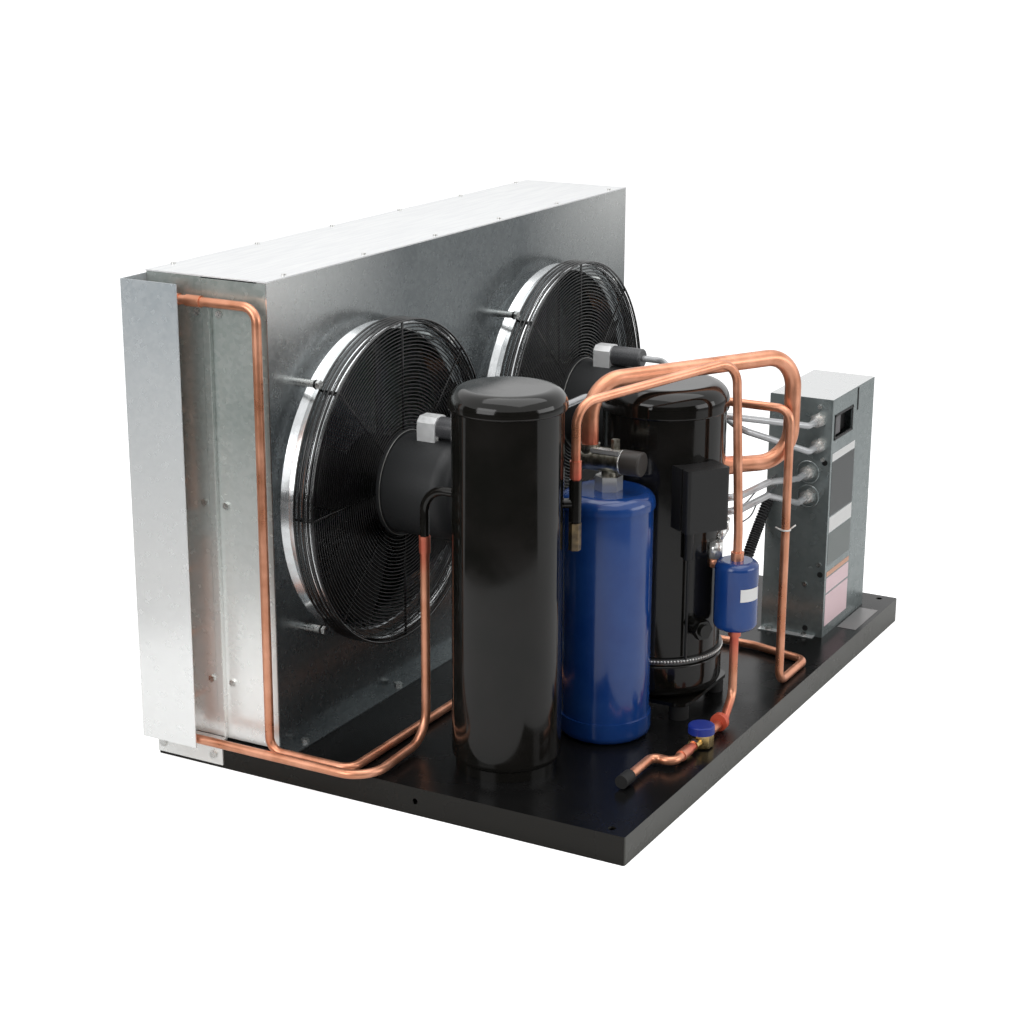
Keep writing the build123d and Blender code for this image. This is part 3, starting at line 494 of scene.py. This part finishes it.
for vessel in ("receiver", "compressor"):
    make_piece(
        f"{vessel}_weld_bead",
        lambda shape: build_weld(shape, f"{vessel}_top_cap"),
        vessel_black,
        "unit",
    )

# ---- crankcase heater ----------------------------------------------------------------
# A flat band clamped round the compressor's foot: bright beads strung at even steps in a
# dark steel channel.


def wire_beads(group, sockets):
    """Beads stand at Count points of a circle of the given Radius about Middle."""
    circle = group.nodes.new("GeometryNodeMeshCircle")
    group.links.new(sockets["Count"], circle.inputs["Vertices"])
    group.links.new(sockets["Radius"], circle.inputs["Radius"])
    lift = group.nodes.new("GeometryNodeTransform")
    group.links.new(circle.outputs["Mesh"], lift.inputs["Geometry"])
    group.links.new(sockets["Middle"], lift.inputs["Translation"])
    bead = group.nodes.new("GeometryNodeMeshUVSphere")
    bead.inputs["Segments"].default_value = 10
    bead.inputs["Rings"].default_value = 6
    group.links.new(sockets["Bead"], bead.inputs["Radius"])
    copies = group.nodes.new("GeometryNodeInstanceOnPoints")
    group.links.new(lift.outputs["Geometry"], copies.inputs["Points"])
    group.links.new(bead.outputs["Mesh"], copies.inputs["Instance"])
    return copies.outputs["Instances"]


dark_channel = new_material("dark_channel", (0.10, 0.10, 0.10), metallic=0.9, roughness=0.35)
bump_field(dark_channel, noise_field(dark_channel, 300.0, 2.0), 0.1, 0.0002)
dress(dark_channel, "crankcase_heater_band")
band_low, band_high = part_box("crankcase_heater_band")
bead_inputs = {
    "Count": 120,
    "Radius": (band_high.x - band_low.x) / 2 - 0.0012,
    "Middle": tuple((band_low + band_high) / 2),
    "Bead": 0.0026,
}
bead_mesh = grow("heater_beads", bright_zinc, bead_inputs, wire_beads)
join_piece("heater_beads", bead_mesh, bright_zinc, "unit")

# ---- fans ----------------------------------------------------------------------------
# Black axial fans: a wire guard of fine welded rings carries the motor in its middle, and
# the blades turn behind it. The inlet collar's bright sleeve shows between the side rings,
# and a thin bright ring on the motor's rim is a painted highlight.
motor_paint = new_material("motor_paint", (0.022, 0.023, 0.024), roughness=0.5, specular=0.35)
cast_grain = noise_field(motor_paint, 500.0, 2.0)
roughness_field(motor_paint, spread(motor_paint, cast_grain, 0.42, 0.62))
bump_field(motor_paint, cast_grain, 0.3, 0.0003)
dress(motor_paint, "fan_1_motor", "fan_2_motor")
blade_paint = new_material("blade_paint", (0.007, 0.007, 0.007), roughness=0.36, specular=0.3)
blade_grain = noise_field(blade_paint, 240.0, 2.0)
roughness_field(blade_paint, spread(blade_paint, blade_grain, 0.34, 0.5))
bump_field(blade_paint, blade_grain, 0.15, 0.0003)
dress(blade_paint, "fan_1_impeller", "fan_2_impeller")
guard_coat = new_material("guard_coat", (0.003, 0.003, 0.003), roughness=0.2, specular=0.35)
bump_field(guard_coat, noise_field(guard_coat, 700.0, 2.0), 0.1, 0.0001)
side_coat = new_material("side_coat", (0.006, 0.006, 0.006), roughness=0.15, coat=0.3)
bump_field(side_coat, noise_field(side_coat, 700.0, 2.0), 0.1, 0.0001)
wire_radius = 0.0011
frame_wire = 0.0021


def wire_rings(group, sockets):
    """Rings about Y at Count places; radius starts at First and grows by Grow each."""
    line = group.nodes.new("GeometryNodeMeshLine")
    group.links.new(sockets["Count"], line.inputs["Count"])
    group.links.new(sockets["Start"], line.inputs["Start Location"])
    group.links.new(sockets["Step"], line.inputs["Offset"])
    number = group.nodes.new("GeometryNodeInputIndex")
    radius = group.nodes.new("ShaderNodeMath")
    radius.operation = "MULTIPLY_ADD"
    group.links.new(number.outputs["Index"], radius.inputs[0])
    group.links.new(sockets["Grow"], radius.inputs[1])
    group.links.new(sockets["First"], radius.inputs[2])
    circle = group.nodes.new("GeometryNodeCurvePrimitiveCircle")
    circle.inputs["Resolution"].default_value = 96
    circle.inputs["Radius"].default_value = 1.0
    stand = group.nodes.new("GeometryNodeTransform")
    stand.inputs["Rotation"].default_value = (math.radians(90), 0.0, 0.0)
    group.links.new(circle.outputs["Curve"], stand.inputs["Geometry"])
    copies = group.nodes.new("GeometryNodeInstanceOnPoints")
    group.links.new(line.outputs["Mesh"], copies.inputs["Points"])
    group.links.new(stand.outputs["Geometry"], copies.inputs["Instance"])
    group.links.new(radius.outputs["Value"], copies.inputs["Scale"])
    loose = group.nodes.new("GeometryNodeRealizeInstances")
    group.links.new(copies.outputs["Instances"], loose.inputs["Geometry"])
    section = group.nodes.new("GeometryNodeCurvePrimitiveCircle")
    section.inputs["Resolution"].default_value = 6
    group.links.new(sockets["Wire"], section.inputs["Radius"])
    solid = group.nodes.new("GeometryNodeCurveToMesh")
    group.links.new(loose.outputs["Geometry"], solid.inputs["Curve"])
    group.links.new(section.outputs["Curve"], solid.inputs["Profile Curve"])
    return solid.outputs["Mesh"]


def build_ribs(shape, middle, inner, outer, face, back):
    """Radial wires with their shoulders, and the bolted eyes on every second one."""
    for rib in range(8):
        turn = math.radians(45 * rib)
        outward = Vector((math.cos(turn), 0, math.sin(turn)))
        hub = middle + Vector((0, face + wire_radius, 0))
        add_tube(shape, hub + outward * inner, hub + outward * (outer - 0.003), frame_wire, 8)
        corner = middle + outward * (outer - 0.0045)
        add_tube(shape, corner + Vector((0, face, 0)), corner + Vector((0, back, 0)), frame_wire, 8)
        if rib % 2:
            eye = middle + outward * (0.205 * math.sqrt(2)) + Vector((0, back - 0.001, 0))
            add_ring(shape, eye, (0, 1, 0), 0.0062, 0.002, 20)
            add_tube(shape, eye - outward * 0.006, corner + Vector((0, back - 0.001, 0)), frame_wire, 8)


def build_band(shape, start, end, radius, wall):
    """A thin open sleeve between two points of the fan's axis."""
    steps = 96
    loops = []
    for step in range(steps):
        turn = 2 * math.pi * step / steps
        outward = Vector((math.cos(turn), 0, math.sin(turn)))
        corners = ((start, radius), (end, radius), (end, radius - wall), (start, radius - wall))
        loops.append([shape.verts.new(spot + outward * reach) for spot, reach in corners])
    for step in range(steps):
        here, there = loops[step], loops[(step + 1) % steps]
        for side in range(4):
            after = (side + 1) % 4
            shape.faces.new((here[side], there[side], there[after], here[after]))


# Painted highlight: a thin bright ring on each motor's front rim.
rim_painted_highlight = new_material("rim_painted_highlight", (0.22, 0.22, 0.21), metallic=0.6, roughness=0.35)
bump_field(rim_painted_highlight, noise_field(rim_painted_highlight, 500.0, 2.0), 0.1, 0.0002)
face_ring_count = 30
side_ring_count = 5
for number in (1, 2):
    guard_low, guard_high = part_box(f"fan_{number}_guard")
    motor_low, motor_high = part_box(f"fan_{number}_motor")
    middle = Vector(((guard_low.x + guard_high.x) / 2, 0, (guard_low.z + guard_high.z) / 2))
    outer = (guard_high.x - guard_low.x) / 2
    inner = (motor_high.x - motor_low.x) / 2
    face = guard_low.y + frame_wire
    back = guard_high.y - frame_wire
    ribs = make_piece(
        f"fan_{number}_guard_ribs",
        lambda shape: build_ribs(shape, middle, inner, outer, face, back),
        guard_coat,
        "unit",
    )
    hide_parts(f"fan_{number}_guard")
    face_inputs = {
        "Count": face_ring_count,
        "Start": (middle.x, face, middle.z),
        "Step": (0.0, 0.0, 0.0),
        "First": inner + 0.003,
        "Grow": (outer - 0.012 - inner) / (face_ring_count - 1),
        "Wire": wire_radius,
    }
    rings = grow(f"fan_{number}_face_rings", guard_coat, face_inputs, wire_rings)
    join_piece(f"fan_{number}_face_rings", rings, guard_coat, "unit")
    side_inputs = {
        "Count": side_ring_count,
        "Start": (middle.x, face, middle.z),
        "Step": (0.0, (back - face) / (side_ring_count - 1), 0.0),
        "First": outer - frame_wire,
        "Grow": 0.0,
        "Wire": frame_wire,
    }
    rings = grow(f"fan_{number}_side_rings", side_coat, side_inputs, wire_rings)
    join_piece(f"fan_{number}_side_rings", rings, side_coat, "unit")
    inlet_radius = outer - 2 * frame_wire - 0.0035
    lip = middle + Vector((0, face + 0.007, 0))
    root = middle + Vector((0, back + frame_wire, 0))
    make_piece(
        f"fan_{number}_inlet_band",
        lambda shape: build_band(shape, lip, root, inlet_radius, 0.0012),
        collar_zinc,
        "unit",
    )
    edge = Vector((middle.x, motor_high.y - 0.0162, middle.z))
    make_piece(
        f"fan_{number}_rim_highlight",
        lambda shape: add_ring(shape, edge, (0, 1, 0), inner - 0.0006, 0.0009, 96, 6),
        rim_painted_highlight,
        "unit",
    )

# ---- motor glands and capacitors -----------------------------------------------------
# A cast aluminium gland block sits on each motor with a dark capacitor clamped in front of
# it. Fan 1's block also has a bright strap with an eye hanging from it.
cast_aluminium = new_material("cast_aluminium", (0.90, 0.91, 0.91), metallic=0.45, roughness=0.3)
block_grain = noise_field(cast_aluminium, 160.0)
roughness_field(cast_aluminium, spread(cast_aluminium, block_grain, 0.3, 0.5))
bump_field(cast_aluminium, block_grain, 0.1, 0.0004)
dress(cast_aluminium, "motor_gland_blocks")
gland_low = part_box("motor_gland_blocks")[0]
strap_along = gland_low.x + 0.012
strap_across = gland_low.y - 0.003


def build_strap(shape):
    half_width = 0.005
    top = gland_low.z + 0.012
    low = gland_low.z - 0.022
    near = (strap_along - half_width, strap_across, low)
    add_block(shape, near, (strap_along + half_width, strap_across + 0.003, top))
    add_ring(shape, (strap_along, strap_across + 0.0015, low - 0.007), (0, 1, 0), 0.007, 0.002, 24)


make_piece("motor_strap", build_strap, bright_zinc, "unit", smooth=False)

# ---- plastic and rubber pieces -------------------------------------------------------
# Moulded black covers, caps and leads, matt with a fine grain.


def moulded(name, colour, roughness=0.45, grain=0.2, specular=0.4):
    """Moulded plastic or rubber with a fine grain."""
    mat = new_material(name, colour, roughness=roughness, specular=specular)
    field = noise_field(mat, 900.0, 2.0)
    roughness_field(mat, spread(mat, field, roughness - 0.06, roughness + 0.08))
    bump_field(mat, field, grain, 0.0002)
    return mat


black_plastic = moulded("black_plastic", (0.011, 0.011, 0.011))
dress(black_plastic, "terminal_box_base", "terminal_box_cover", "heater_lead", "control_box_switchgear")
dress(moulded("black_rubber", (0.012, 0.012, 0.012), 0.7), "compressor_rubber_feet", "liquid_outlet_cap")
dress(moulded("cap_brown", (0.030, 0.026, 0.023), 0.4), "accumulator_valve_cap")
dress(moulded("cap_blue", (0.012, 0.03, 0.24), 0.35), "sight_glass_cap")
dress(moulded("grommet_red", (0.62, 0.10, 0.05), 0.45), "pipe_grommet")
dress(moulded("capacitor_grey", (0.055, 0.056, 0.06), 0.3, specular=0.7), "motor_capacitors")

# ---- valves --------------------------------------------------------------------------
# Machined brass and nickel-plated bodies with bright nuts. A bright flat bar lies along the
# suction valve above its spindle, and a bright ring sits behind its cap.
brass = new_material("brass", (0.78, 0.56, 0.24), metallic=1.0, roughness=0.25)
brass_wear = noise_field(brass, 80.0)
colour_blend(brass, spread(brass, brass_wear, 0, 1), (0.60, 0.40, 0.15), (0.82, 0.62, 0.30))
bump_field(brass, noise_field(brass, 500.0), 0.1, 0.0002)
dress(brass, "sight_glass_body")
dull_brass = new_material("dull_brass", (0.20, 0.15, 0.09), metallic=0.8, roughness=0.42)
dull_wear = noise_field(dull_brass, 70.0)
colour_blend(dull_brass, spread(dull_brass, dull_wear, 0, 1), (0.10, 0.08, 0.06), (0.30, 0.22, 0.12))
bump_field(dull_brass, dull_wear, 0.1, 0.0003)
dress(dull_brass, "receiver_valve_cap")
plated = new_material("plated", (0.50, 0.48, 0.44), metallic=1.0, roughness=0.34)
plated_wear = noise_field(plated, 120.0)
colour_blend(plated, spread(plated, plated_wear, 0, 1), (0.16, 0.15, 0.12), (0.42, 0.40, 0.34))
bump_field(plated, plated_wear, 0.1, 0.0003)
dress(plated, "accumulator_valve_body")
nickel = new_material("nickel", (0.80, 0.80, 0.78), metallic=0.7, roughness=0.25)
bump_field(nickel, noise_field(nickel, 200.0), 0.08, 0.0003)
dress(nickel, "accumulator_valve_nut")
valve_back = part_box("accumulator_valve_body")[1].y
valve_axis = middle_of("accumulator_valve_stem")
cap_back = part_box("accumulator_valve_cap")[1].y
bar_level = valve_axis.z + 0.0195


def build_bar(shape):
    start = cap_back + 0.001
    end = valve_back - 0.028
    low = (valve_axis.x - 0.017, start, bar_level - 0.006)
    add_block(shape, low, (valve_axis.x - 0.006, end, bar_level + 0.001))


def build_lock_ring(shape):
    add_ring(shape, (valve_axis.x, cap_back + 0.002, valve_axis.z), (0, 1, 0), 0.0175, 0.0026, 48)


make_piece("suction_valve_bar", build_bar, nickel, "unit", smooth=False)
make_piece("suction_valve_ring", build_lock_ring, nickel, "unit")

# ---- cable conduits ------------------------------------------------------------------
# Liquid-tight conduits, a smooth pale sheath over a steel spiral, with bright connectors.
sheath = new_material("sheath", (0.46, 0.47, 0.48), metallic=0.35, roughness=0.25, coat=0.3)
bump_field(sheath, noise_field(sheath, 260.0, 2.0), 0.3, 0.0008)
dress(sheath, "cable_conduits")
dress(nickel, "conduit_glands")

# ---- control box cover ---------------------------------------------------------------
# A screwed sheet door with a window for the display. The bands and panels below it are
# bare: they carry no words or marks.
print_white = new_material("print_white", (0.72, 0.72, 0.71), roughness=0.4)
print_slate = new_material("print_slate", (0.065, 0.07, 0.07), roughness=0.4)
print_grey = new_material("print_grey", (0.145, 0.165, 0.16), roughness=0.35)
print_orange = new_material("print_orange", (0.66, 0.36, 0.24), roughness=0.45)
print_pink = new_material("print_pink", (0.80, 0.60, 0.63), roughness=0.45)
for mat in (print_white, print_slate, print_grey, print_orange, print_pink):
    bump_field(mat, noise_field(mat, 300.0, 2.0), 0.05, 0.0002)
door_low, door_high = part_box("control_box_cover")
film = 0.0004
door_bands = (
    ("door_band_upper", print_white, 0.389, 0.404),
    ("door_panel_slate", print_slate, 0.284, 0.3875),
    ("door_band_lower", print_white, 0.252, 0.2815),
    ("door_panel_grey", print_grey, 0.187, 0.2495),
    ("door_stripe", print_orange, 0.165, 0.174),
    ("door_panel_pale_upper", print_pink, 0.133, 0.162),
    ("door_panel_pale_lower", print_pink, 0.067, 0.129),
)
for name, mat, low, high in door_bands:
    start = (door_low.x + 0.007, door_low.y - film, low)
    end = (door_high.x - 0.006, door_low.y, high)
    make_piece(
        name,
        lambda shape: add_block(shape, start, end),
        mat,
        "box_door",
        smooth=False,
    )


def build_bezel(shape):
    left, right = door_low.x + 0.010, door_low.x + 0.108
    bottom, top = 0.429, 0.477
    front, rear = door_low.y - 0.0012, door_low.y
    rim = 0.004
    add_block(shape, (left, front, bottom), (right, rear, bottom + rim))
    add_block(shape, (left, front, top - rim), (right, rear, top))
    add_block(shape, (left, front, bottom), (left + rim, rear, top))
    add_block(shape, (right - rim, front, bottom), (right, rear, top))


make_piece("door_window_bezel", build_bezel, black_plastic, "box_door", smooth=False)
display_grey = moulded("display_grey", (0.10, 0.095, 0.10), 0.3)
display_start = (door_low.x + 0.018, door_low.y + 0.004, 0.436)
display_end = (door_low.x + 0.052, door_low.y + 0.0135, 0.470)
make_piece(
    "display_module",
    lambda shape: add_block(shape, display_start, display_end),
    display_grey,
    "unit",
    smooth=False,
)

# ---- control box sides ---------------------------------------------------------------
# Pressed knock-out bosses stand round the lower two conduits, and the lower edge and
# corners carry open holes, drawn as black discs: painted shade inside the holes.
side_plane = door_low.x - 0.0023
hole_painted_shade = moulded("hole_painted_shade", (0.004, 0.004, 0.004), 0.8)


def build_bosses(shape):
    for across, up in ((-0.342, 0.366), (-0.344, 0.320)):
        add_ring(shape, (side_plane, across, up), (1, 0, 0), 0.021, 0.0016, 40)


def build_side_holes(shape):
    for across, up in ((-0.374, 0.388), (-0.3755, 0.171), (-0.351, 0.061)):
        add_tube(shape, (side_plane - 0.0004, across, up), (side_plane + 0.0005, across, up), 0.0055, 20)


make_piece("box_knockout_rings", build_bosses, box_zinc, "unit")
make_piece("box_side_holes", build_side_holes, hole_painted_shade, "unit")
# A black block at the door's edge: painted shade in the slot there.
slot_start = (door_high.x - 0.004, door_low.y - film, 0.462)
slot_end = (door_high.x + 0.0031, door_low.y, 0.505)
make_piece(
    "door_edge_slot",
    lambda shape: add_block(shape, slot_start, slot_end),
    hole_painted_shade,
    "unit",
    smooth=False,
)

# ---- bare label places ---------------------------------------------------------------
# A white patch on the filter drier and a pale plate on the pan beside the control box.
# Both are left blank.
patch_white = new_material("patch_white", (0.74, 0.74, 0.73), roughness=0.45)
bump_field(patch_white, noise_field(patch_white, 200.0, 2.0), 0.05, 0.0002)
plate_grey = new_material("plate_grey", (0.24, 0.23, 0.23), metallic=0.4, roughness=0.35)
bump_field(plate_grey, noise_field(plate_grey, 90.0, 3.0), 0.2, 0.0006)


def build_patch(shape):
    radius = (drier_high.x - drier_low.x) / 2 + film
    patch_start, patch_sweep = 214, 62
    steps = 16
    rows = []
    for step in range(steps + 1):
        angle = math.radians(patch_start + patch_sweep * step / steps)
        spot = drier_middle + radius * Vector((math.cos(angle), math.sin(angle), 0))
        rows.append([shape.verts.new((spot.x, spot.y, level)) for level in (0.262, 0.284)])
    for step in range(steps):
        shape.faces.new((rows[step][0], rows[step + 1][0], rows[step + 1][1], rows[step][1]))


make_piece("drier_blank_patch", build_patch, patch_white, "unit")
pan_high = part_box("base_pan")[1]
plate_start = (0.405, -0.426, pan_high.z)
plate_end = (0.534, -0.389, pan_high.z + film)
make_piece(
    "pan_blank_plate",
    lambda shape: add_block(shape, plate_start, plate_end),
    plate_grey,
    "unit",
    smooth=False,
)

# ---- wiring --------------------------------------------------------------------------
# A black corrugated loom and two thin leads drop from the box to the compressor, a steel
# elbow and a small pressure switch sit by the terminal box, and a white tie holds the
# discharge pipe's sensor.


def add_path(shape, points, radius, sides=10):
    """A round lead through the points, with a ball at each turn."""
    for start, end in zip(points, points[1:]):
        add_tube(shape, start, end, radius, sides)
        bmesh.ops.create_icosphere(shape, subdivisions=2, radius=radius, matrix=Matrix.Translation(end))


def curved(points, steps=10):
    """Points along a smooth curve through the given ones."""
    ends = [points[0], *points, points[-1]]
    path = []
    for a, b, c, d in zip(ends, ends[1:], ends[2:], ends[3:]):
        a, b, c, d = (Vector(p) for p in (a, b, c, d))
        for step in range(steps):
            t = step / steps
            bend = (2 * a - 5 * b + 4 * c - d) * t**2
            twist = (3 * b - a - 3 * c + d) * t**3
            path.append(0.5 * ((2 * b) + (c - a) * t + bend + twist))
    path.append(Vector(points[-1]))
    return path


loom_route = [(0.330, -0.27, 0.310), (0.298, -0.263, 0.262), (0.266, -0.258, 0.215), (0.205, -0.26, 0.150)]
loom_path = curved(loom_route, 12)
loom_radius = 0.0085


def build_loom(shape):
    add_path(shape, loom_path, loom_radius)
    for here, there in zip(loom_path, loom_path[1:]):
        add_ring(shape, (here + there) / 2, there - here, loom_radius + 0.0007, 0.0018, 20, 6)


loom_black = moulded("loom_black", (0.02, 0.02, 0.021), 0.4)
make_piece("wiring_loom", build_loom, loom_black, "unit")
lead_routes = (
    [(0.330, -0.28, 0.352), (0.285, -0.265, 0.336), (0.240, -0.258, 0.318), (0.19, -0.255, 0.322)],
    [(0.332, -0.28, 0.330), (0.300, -0.262, 0.312), (0.262, -0.26, 0.288), (0.205, -0.258, 0.286)],
)
for number, route in enumerate(lead_routes):
    make_piece(
        f"thin_lead_{number + 1}",
        lambda shape: add_path(shape, curved(route), 0.0014, 6),
        display_grey,
        "unit",
    )
switch_along, switch_across = -0.098, -0.342


def build_switch_top(shape):
    foot = (switch_along, switch_across, 0.322)
    add_tube(shape, foot, (switch_along, switch_across, 0.350), 0.013, 20)


def build_switch_foot(shape):
    foot = (switch_along, switch_across, 0.306)
    add_tube(shape, foot, (switch_along, switch_across, 0.3222), 0.011, 20)
    add_tube(shape, (switch_along, switch_across, 0.314), (-0.089, -0.300, 0.314), 0.006, 12)


def build_elbow(shape):
    bend = (-0.062, -0.343, 0.366)
    add_tube(shape, (-0.080, -0.338, 0.348), bend, 0.0095, 16)
    add_tube(shape, bend, (-0.050, -0.340, 0.377), 0.0072, 16)


make_piece("switch_body", build_switch_top, nickel, "unit")
make_piece("switch_foot", build_switch_foot, pipe_copper, "unit")
make_piece("conduit_elbow", build_elbow, nickel, "unit")
tie_point = Vector((0.058, -0.407, 0.338))
tie_white = moulded("tie_white", (0.75, 0.75, 0.72), 0.4)


def build_tie(shape):
    add_ring(shape, tie_point, (0, 0, 1), 0.0082, 0.0016, 28)
    ends = (((0.006, -0.006, 0), (0.012, -0.014, 0.007)), ((-0.006, 0.006, 0), (-0.010, 0.015, 0.005)))
    for start, end in ends:
        add_tube(shape, tie_point + Vector(start), tie_point + Vector(end), 0.0014, 6)


make_piece("sensor_tie", build_tie, tie_white, "unit")

# ---- floor, light and camera ---------------------------------------------------------
# A white seamless floor that still takes the object's shadow, and soft studio boxes: one
# above, one at the header end, one on the service side. A dark surround beyond the lit
# floor shows only in reflections, so the black enamel stays deep.
floor_mesh = bpy.data.meshes.new("studio_floor")
floor_shape = bmesh.new()
bmesh.ops.create_grid(floor_shape, x_segments=1, y_segments=1, size=30.0)
floor_shape.to_mesh(floor_mesh)
floor_shape.free()
floor = bpy.data.objects.new("studio_floor", floor_mesh)
bpy.context.collection.objects.link(floor)
floor_paint = new_material("floor_paint", (0.80, 0.80, 0.80), roughness=0.9)
floor_tree = floor_paint.node_tree
floor_glow = floor_tree.nodes.new("ShaderNodeEmission")
floor_glow.inputs["Color"].default_value = (1.0, 1.0, 1.0, 1.0)
floor_rays = floor_tree.nodes.new("ShaderNodeLightPath")
floor_sum = floor_tree.nodes.new("ShaderNodeAddShader")
floor_pick = floor_tree.nodes.new("ShaderNodeMixShader")
floor_shader = floor_tree.nodes["Principled BSDF"]
floor_place = floor_tree.nodes.new("ShaderNodeTexCoord")
floor_reach = floor_tree.nodes.new("ShaderNodeVectorMath")
floor_reach.operation = "ABSOLUTE"
# The glow stops short of the pan's footprint, so the floor under the pan stays darker: painted shade under
# the pan, seen through its holes.
floor_past_pan = floor_tree.nodes.new("ShaderNodeVectorMath")
floor_past_pan.operation = "SUBTRACT"
floor_past_pan.inputs[1].default_value = (pan_high.x - 0.005, pan_high.y - 0.005, 0.0)
floor_split = floor_tree.nodes.new("ShaderNodeSeparateXYZ")
floor_tree.links.new(floor_place.outputs["Object"], floor_reach.inputs[0])
floor_tree.links.new(floor_reach.outputs["Vector"], floor_past_pan.inputs[0])
floor_tree.links.new(floor_past_pan.outputs["Vector"], floor_split.inputs["Vector"])
floor_outside = combine(floor_tree, "MAXIMUM", floor_split.outputs["X"], floor_split.outputs["Y"])
floor_open = combine(floor_tree, "GREATER_THAN", floor_outside, 0.0)
floor_gain = combine(floor_tree, "MULTIPLY", floor_open, 0.72)
for source, target in (
    (floor_gain, floor_glow.inputs["Strength"]),
    (floor_shader.outputs["BSDF"], floor_sum.inputs[0]),
    (floor_glow.outputs["Emission"], floor_sum.inputs[1]),
    (floor_rays.outputs["Is Camera Ray"], floor_pick.inputs["Fac"]),
    (floor_shader.outputs["BSDF"], floor_pick.inputs[1]),
    (floor_sum.outputs["Shader"], floor_pick.inputs[2]),
    (floor_pick.outputs["Shader"], floor_tree.nodes["Material Output"].inputs["Surface"]),
):
    floor_tree.links.new(source, target)
floor_mesh.materials.append(floor_paint)

surround_mesh = bpy.data.meshes.new("dark_surround")
surround_shape = bmesh.new()
surround_middle = Vector((-0.35, -0.2, 0.003))
surround_start, surround_sweep, surround_steps = 117, 150, 24
surround_near, surround_far, surround_height = 1.3, 5.0, 2.4
surround_rows = []
for step in range(surround_steps + 1):
    bearing = math.radians(surround_start + surround_sweep * step / surround_steps)
    outward = Vector((math.cos(bearing), math.sin(bearing), 0))
    near_edge = surround_middle + outward * surround_near
    far_edge = surround_middle + outward * surround_far
    wall_top = far_edge + Vector((0, 0, surround_height))
    surround_rows.append([surround_shape.verts.new(spot) for spot in (near_edge, far_edge, wall_top)])
for here, there in zip(surround_rows, surround_rows[1:]):
    surround_shape.faces.new((here[0], there[0], there[1], here[1]))
    surround_shape.faces.new((here[1], there[1], there[2], here[2]))
surround_shape.to_mesh(surround_mesh)
surround_shape.free()
surround = bpy.data.objects.new("dark_surround", surround_mesh)
bpy.context.collection.objects.link(surround)
surround_paint = new_material("surround_paint", (0.06, 0.06, 0.06), roughness=0.9, specular=0.0)
surround_mesh.materials.append(surround_paint)
surround.visible_camera = False
surround.visible_diffuse = False
surround.visible_shadow = False
surround.visible_transmission = False

world = bpy.data.worlds.new("studio")
bpy.context.scene.world = world
world.use_nodes = True
sky = world.node_tree.nodes["Background"]
rays = world.node_tree.nodes.new("ShaderNodeLightPath").outputs
seen = combine(world.node_tree, "MAXIMUM", rays["Is Camera Ray"], rays["Is Glossy Ray"])
sky_strength = combine(world.node_tree, "MULTIPLY_ADD", seen, 0.55, 0.45)
world.node_tree.links.new(sky_strength, sky.inputs["Strength"])
sky.inputs["Color"].default_value = (1.0, 1.0, 1.0, 1.0)


def softbox(name, place, target, width, height, power):
    """A soft area light that faces a target point."""
    lamp = bpy.data.lights.new(name, "AREA")
    lamp.shape = "RECTANGLE"
    lamp.size = width
    lamp.size_y = height
    lamp.energy = power
    box = bpy.data.objects.new(name, lamp)
    box.location = place
    box.rotation_euler = (Vector(target) - Vector(place)).to_track_quat("-Z", "Y").to_euler()
    bpy.context.collection.objects.link(box)
    return box


softbox("overhead_box", (0.0, -0.3, 3.2), (0, 0, 0.3), 3.0, 3.0, 55)
softbox("header_end_box", (-3.4, 0.6, 1.5), (0, 0.1, 0.4), 2.0, 2.0, 45)
softbox("service_box", (0.6, -3.6, 1.2), (0, 0, 0.3), 2.6, 1.2, 25)

camera_data = bpy.data.cameras.new("studio_camera")
camera_data.lens = 71.55
camera_data.sensor_width = 36.0
camera = bpy.data.objects.new("studio_camera", camera_data)
bpy.context.collection.objects.link(camera)
camera_yaw = math.radians(28.756)
camera_pitch = math.radians(16.636)
camera_roll = math.radians(0.245)
ahead = Vector(
    (
        math.cos(camera_yaw) * math.cos(camera_pitch),
        math.sin(camera_yaw) * math.cos(camera_pitch),
        -math.sin(camera_pitch),
    )
)
level_right = ahead.cross(Vector((0, 0, 1))).normalized()
level_up = level_right.cross(ahead)
right = level_right * math.cos(camera_roll) + level_up * math.sin(camera_roll)
up = right.cross(ahead)
turned = Matrix((right, up, -ahead)).transposed().to_4x4()
camera.matrix_world = Matrix.Translation((-3.1211, -1.6115, 1.3736)) @ turned
bpy.context.scene.camera = camera
bpy.context.scene.view_settings.view_transform = "Standard"
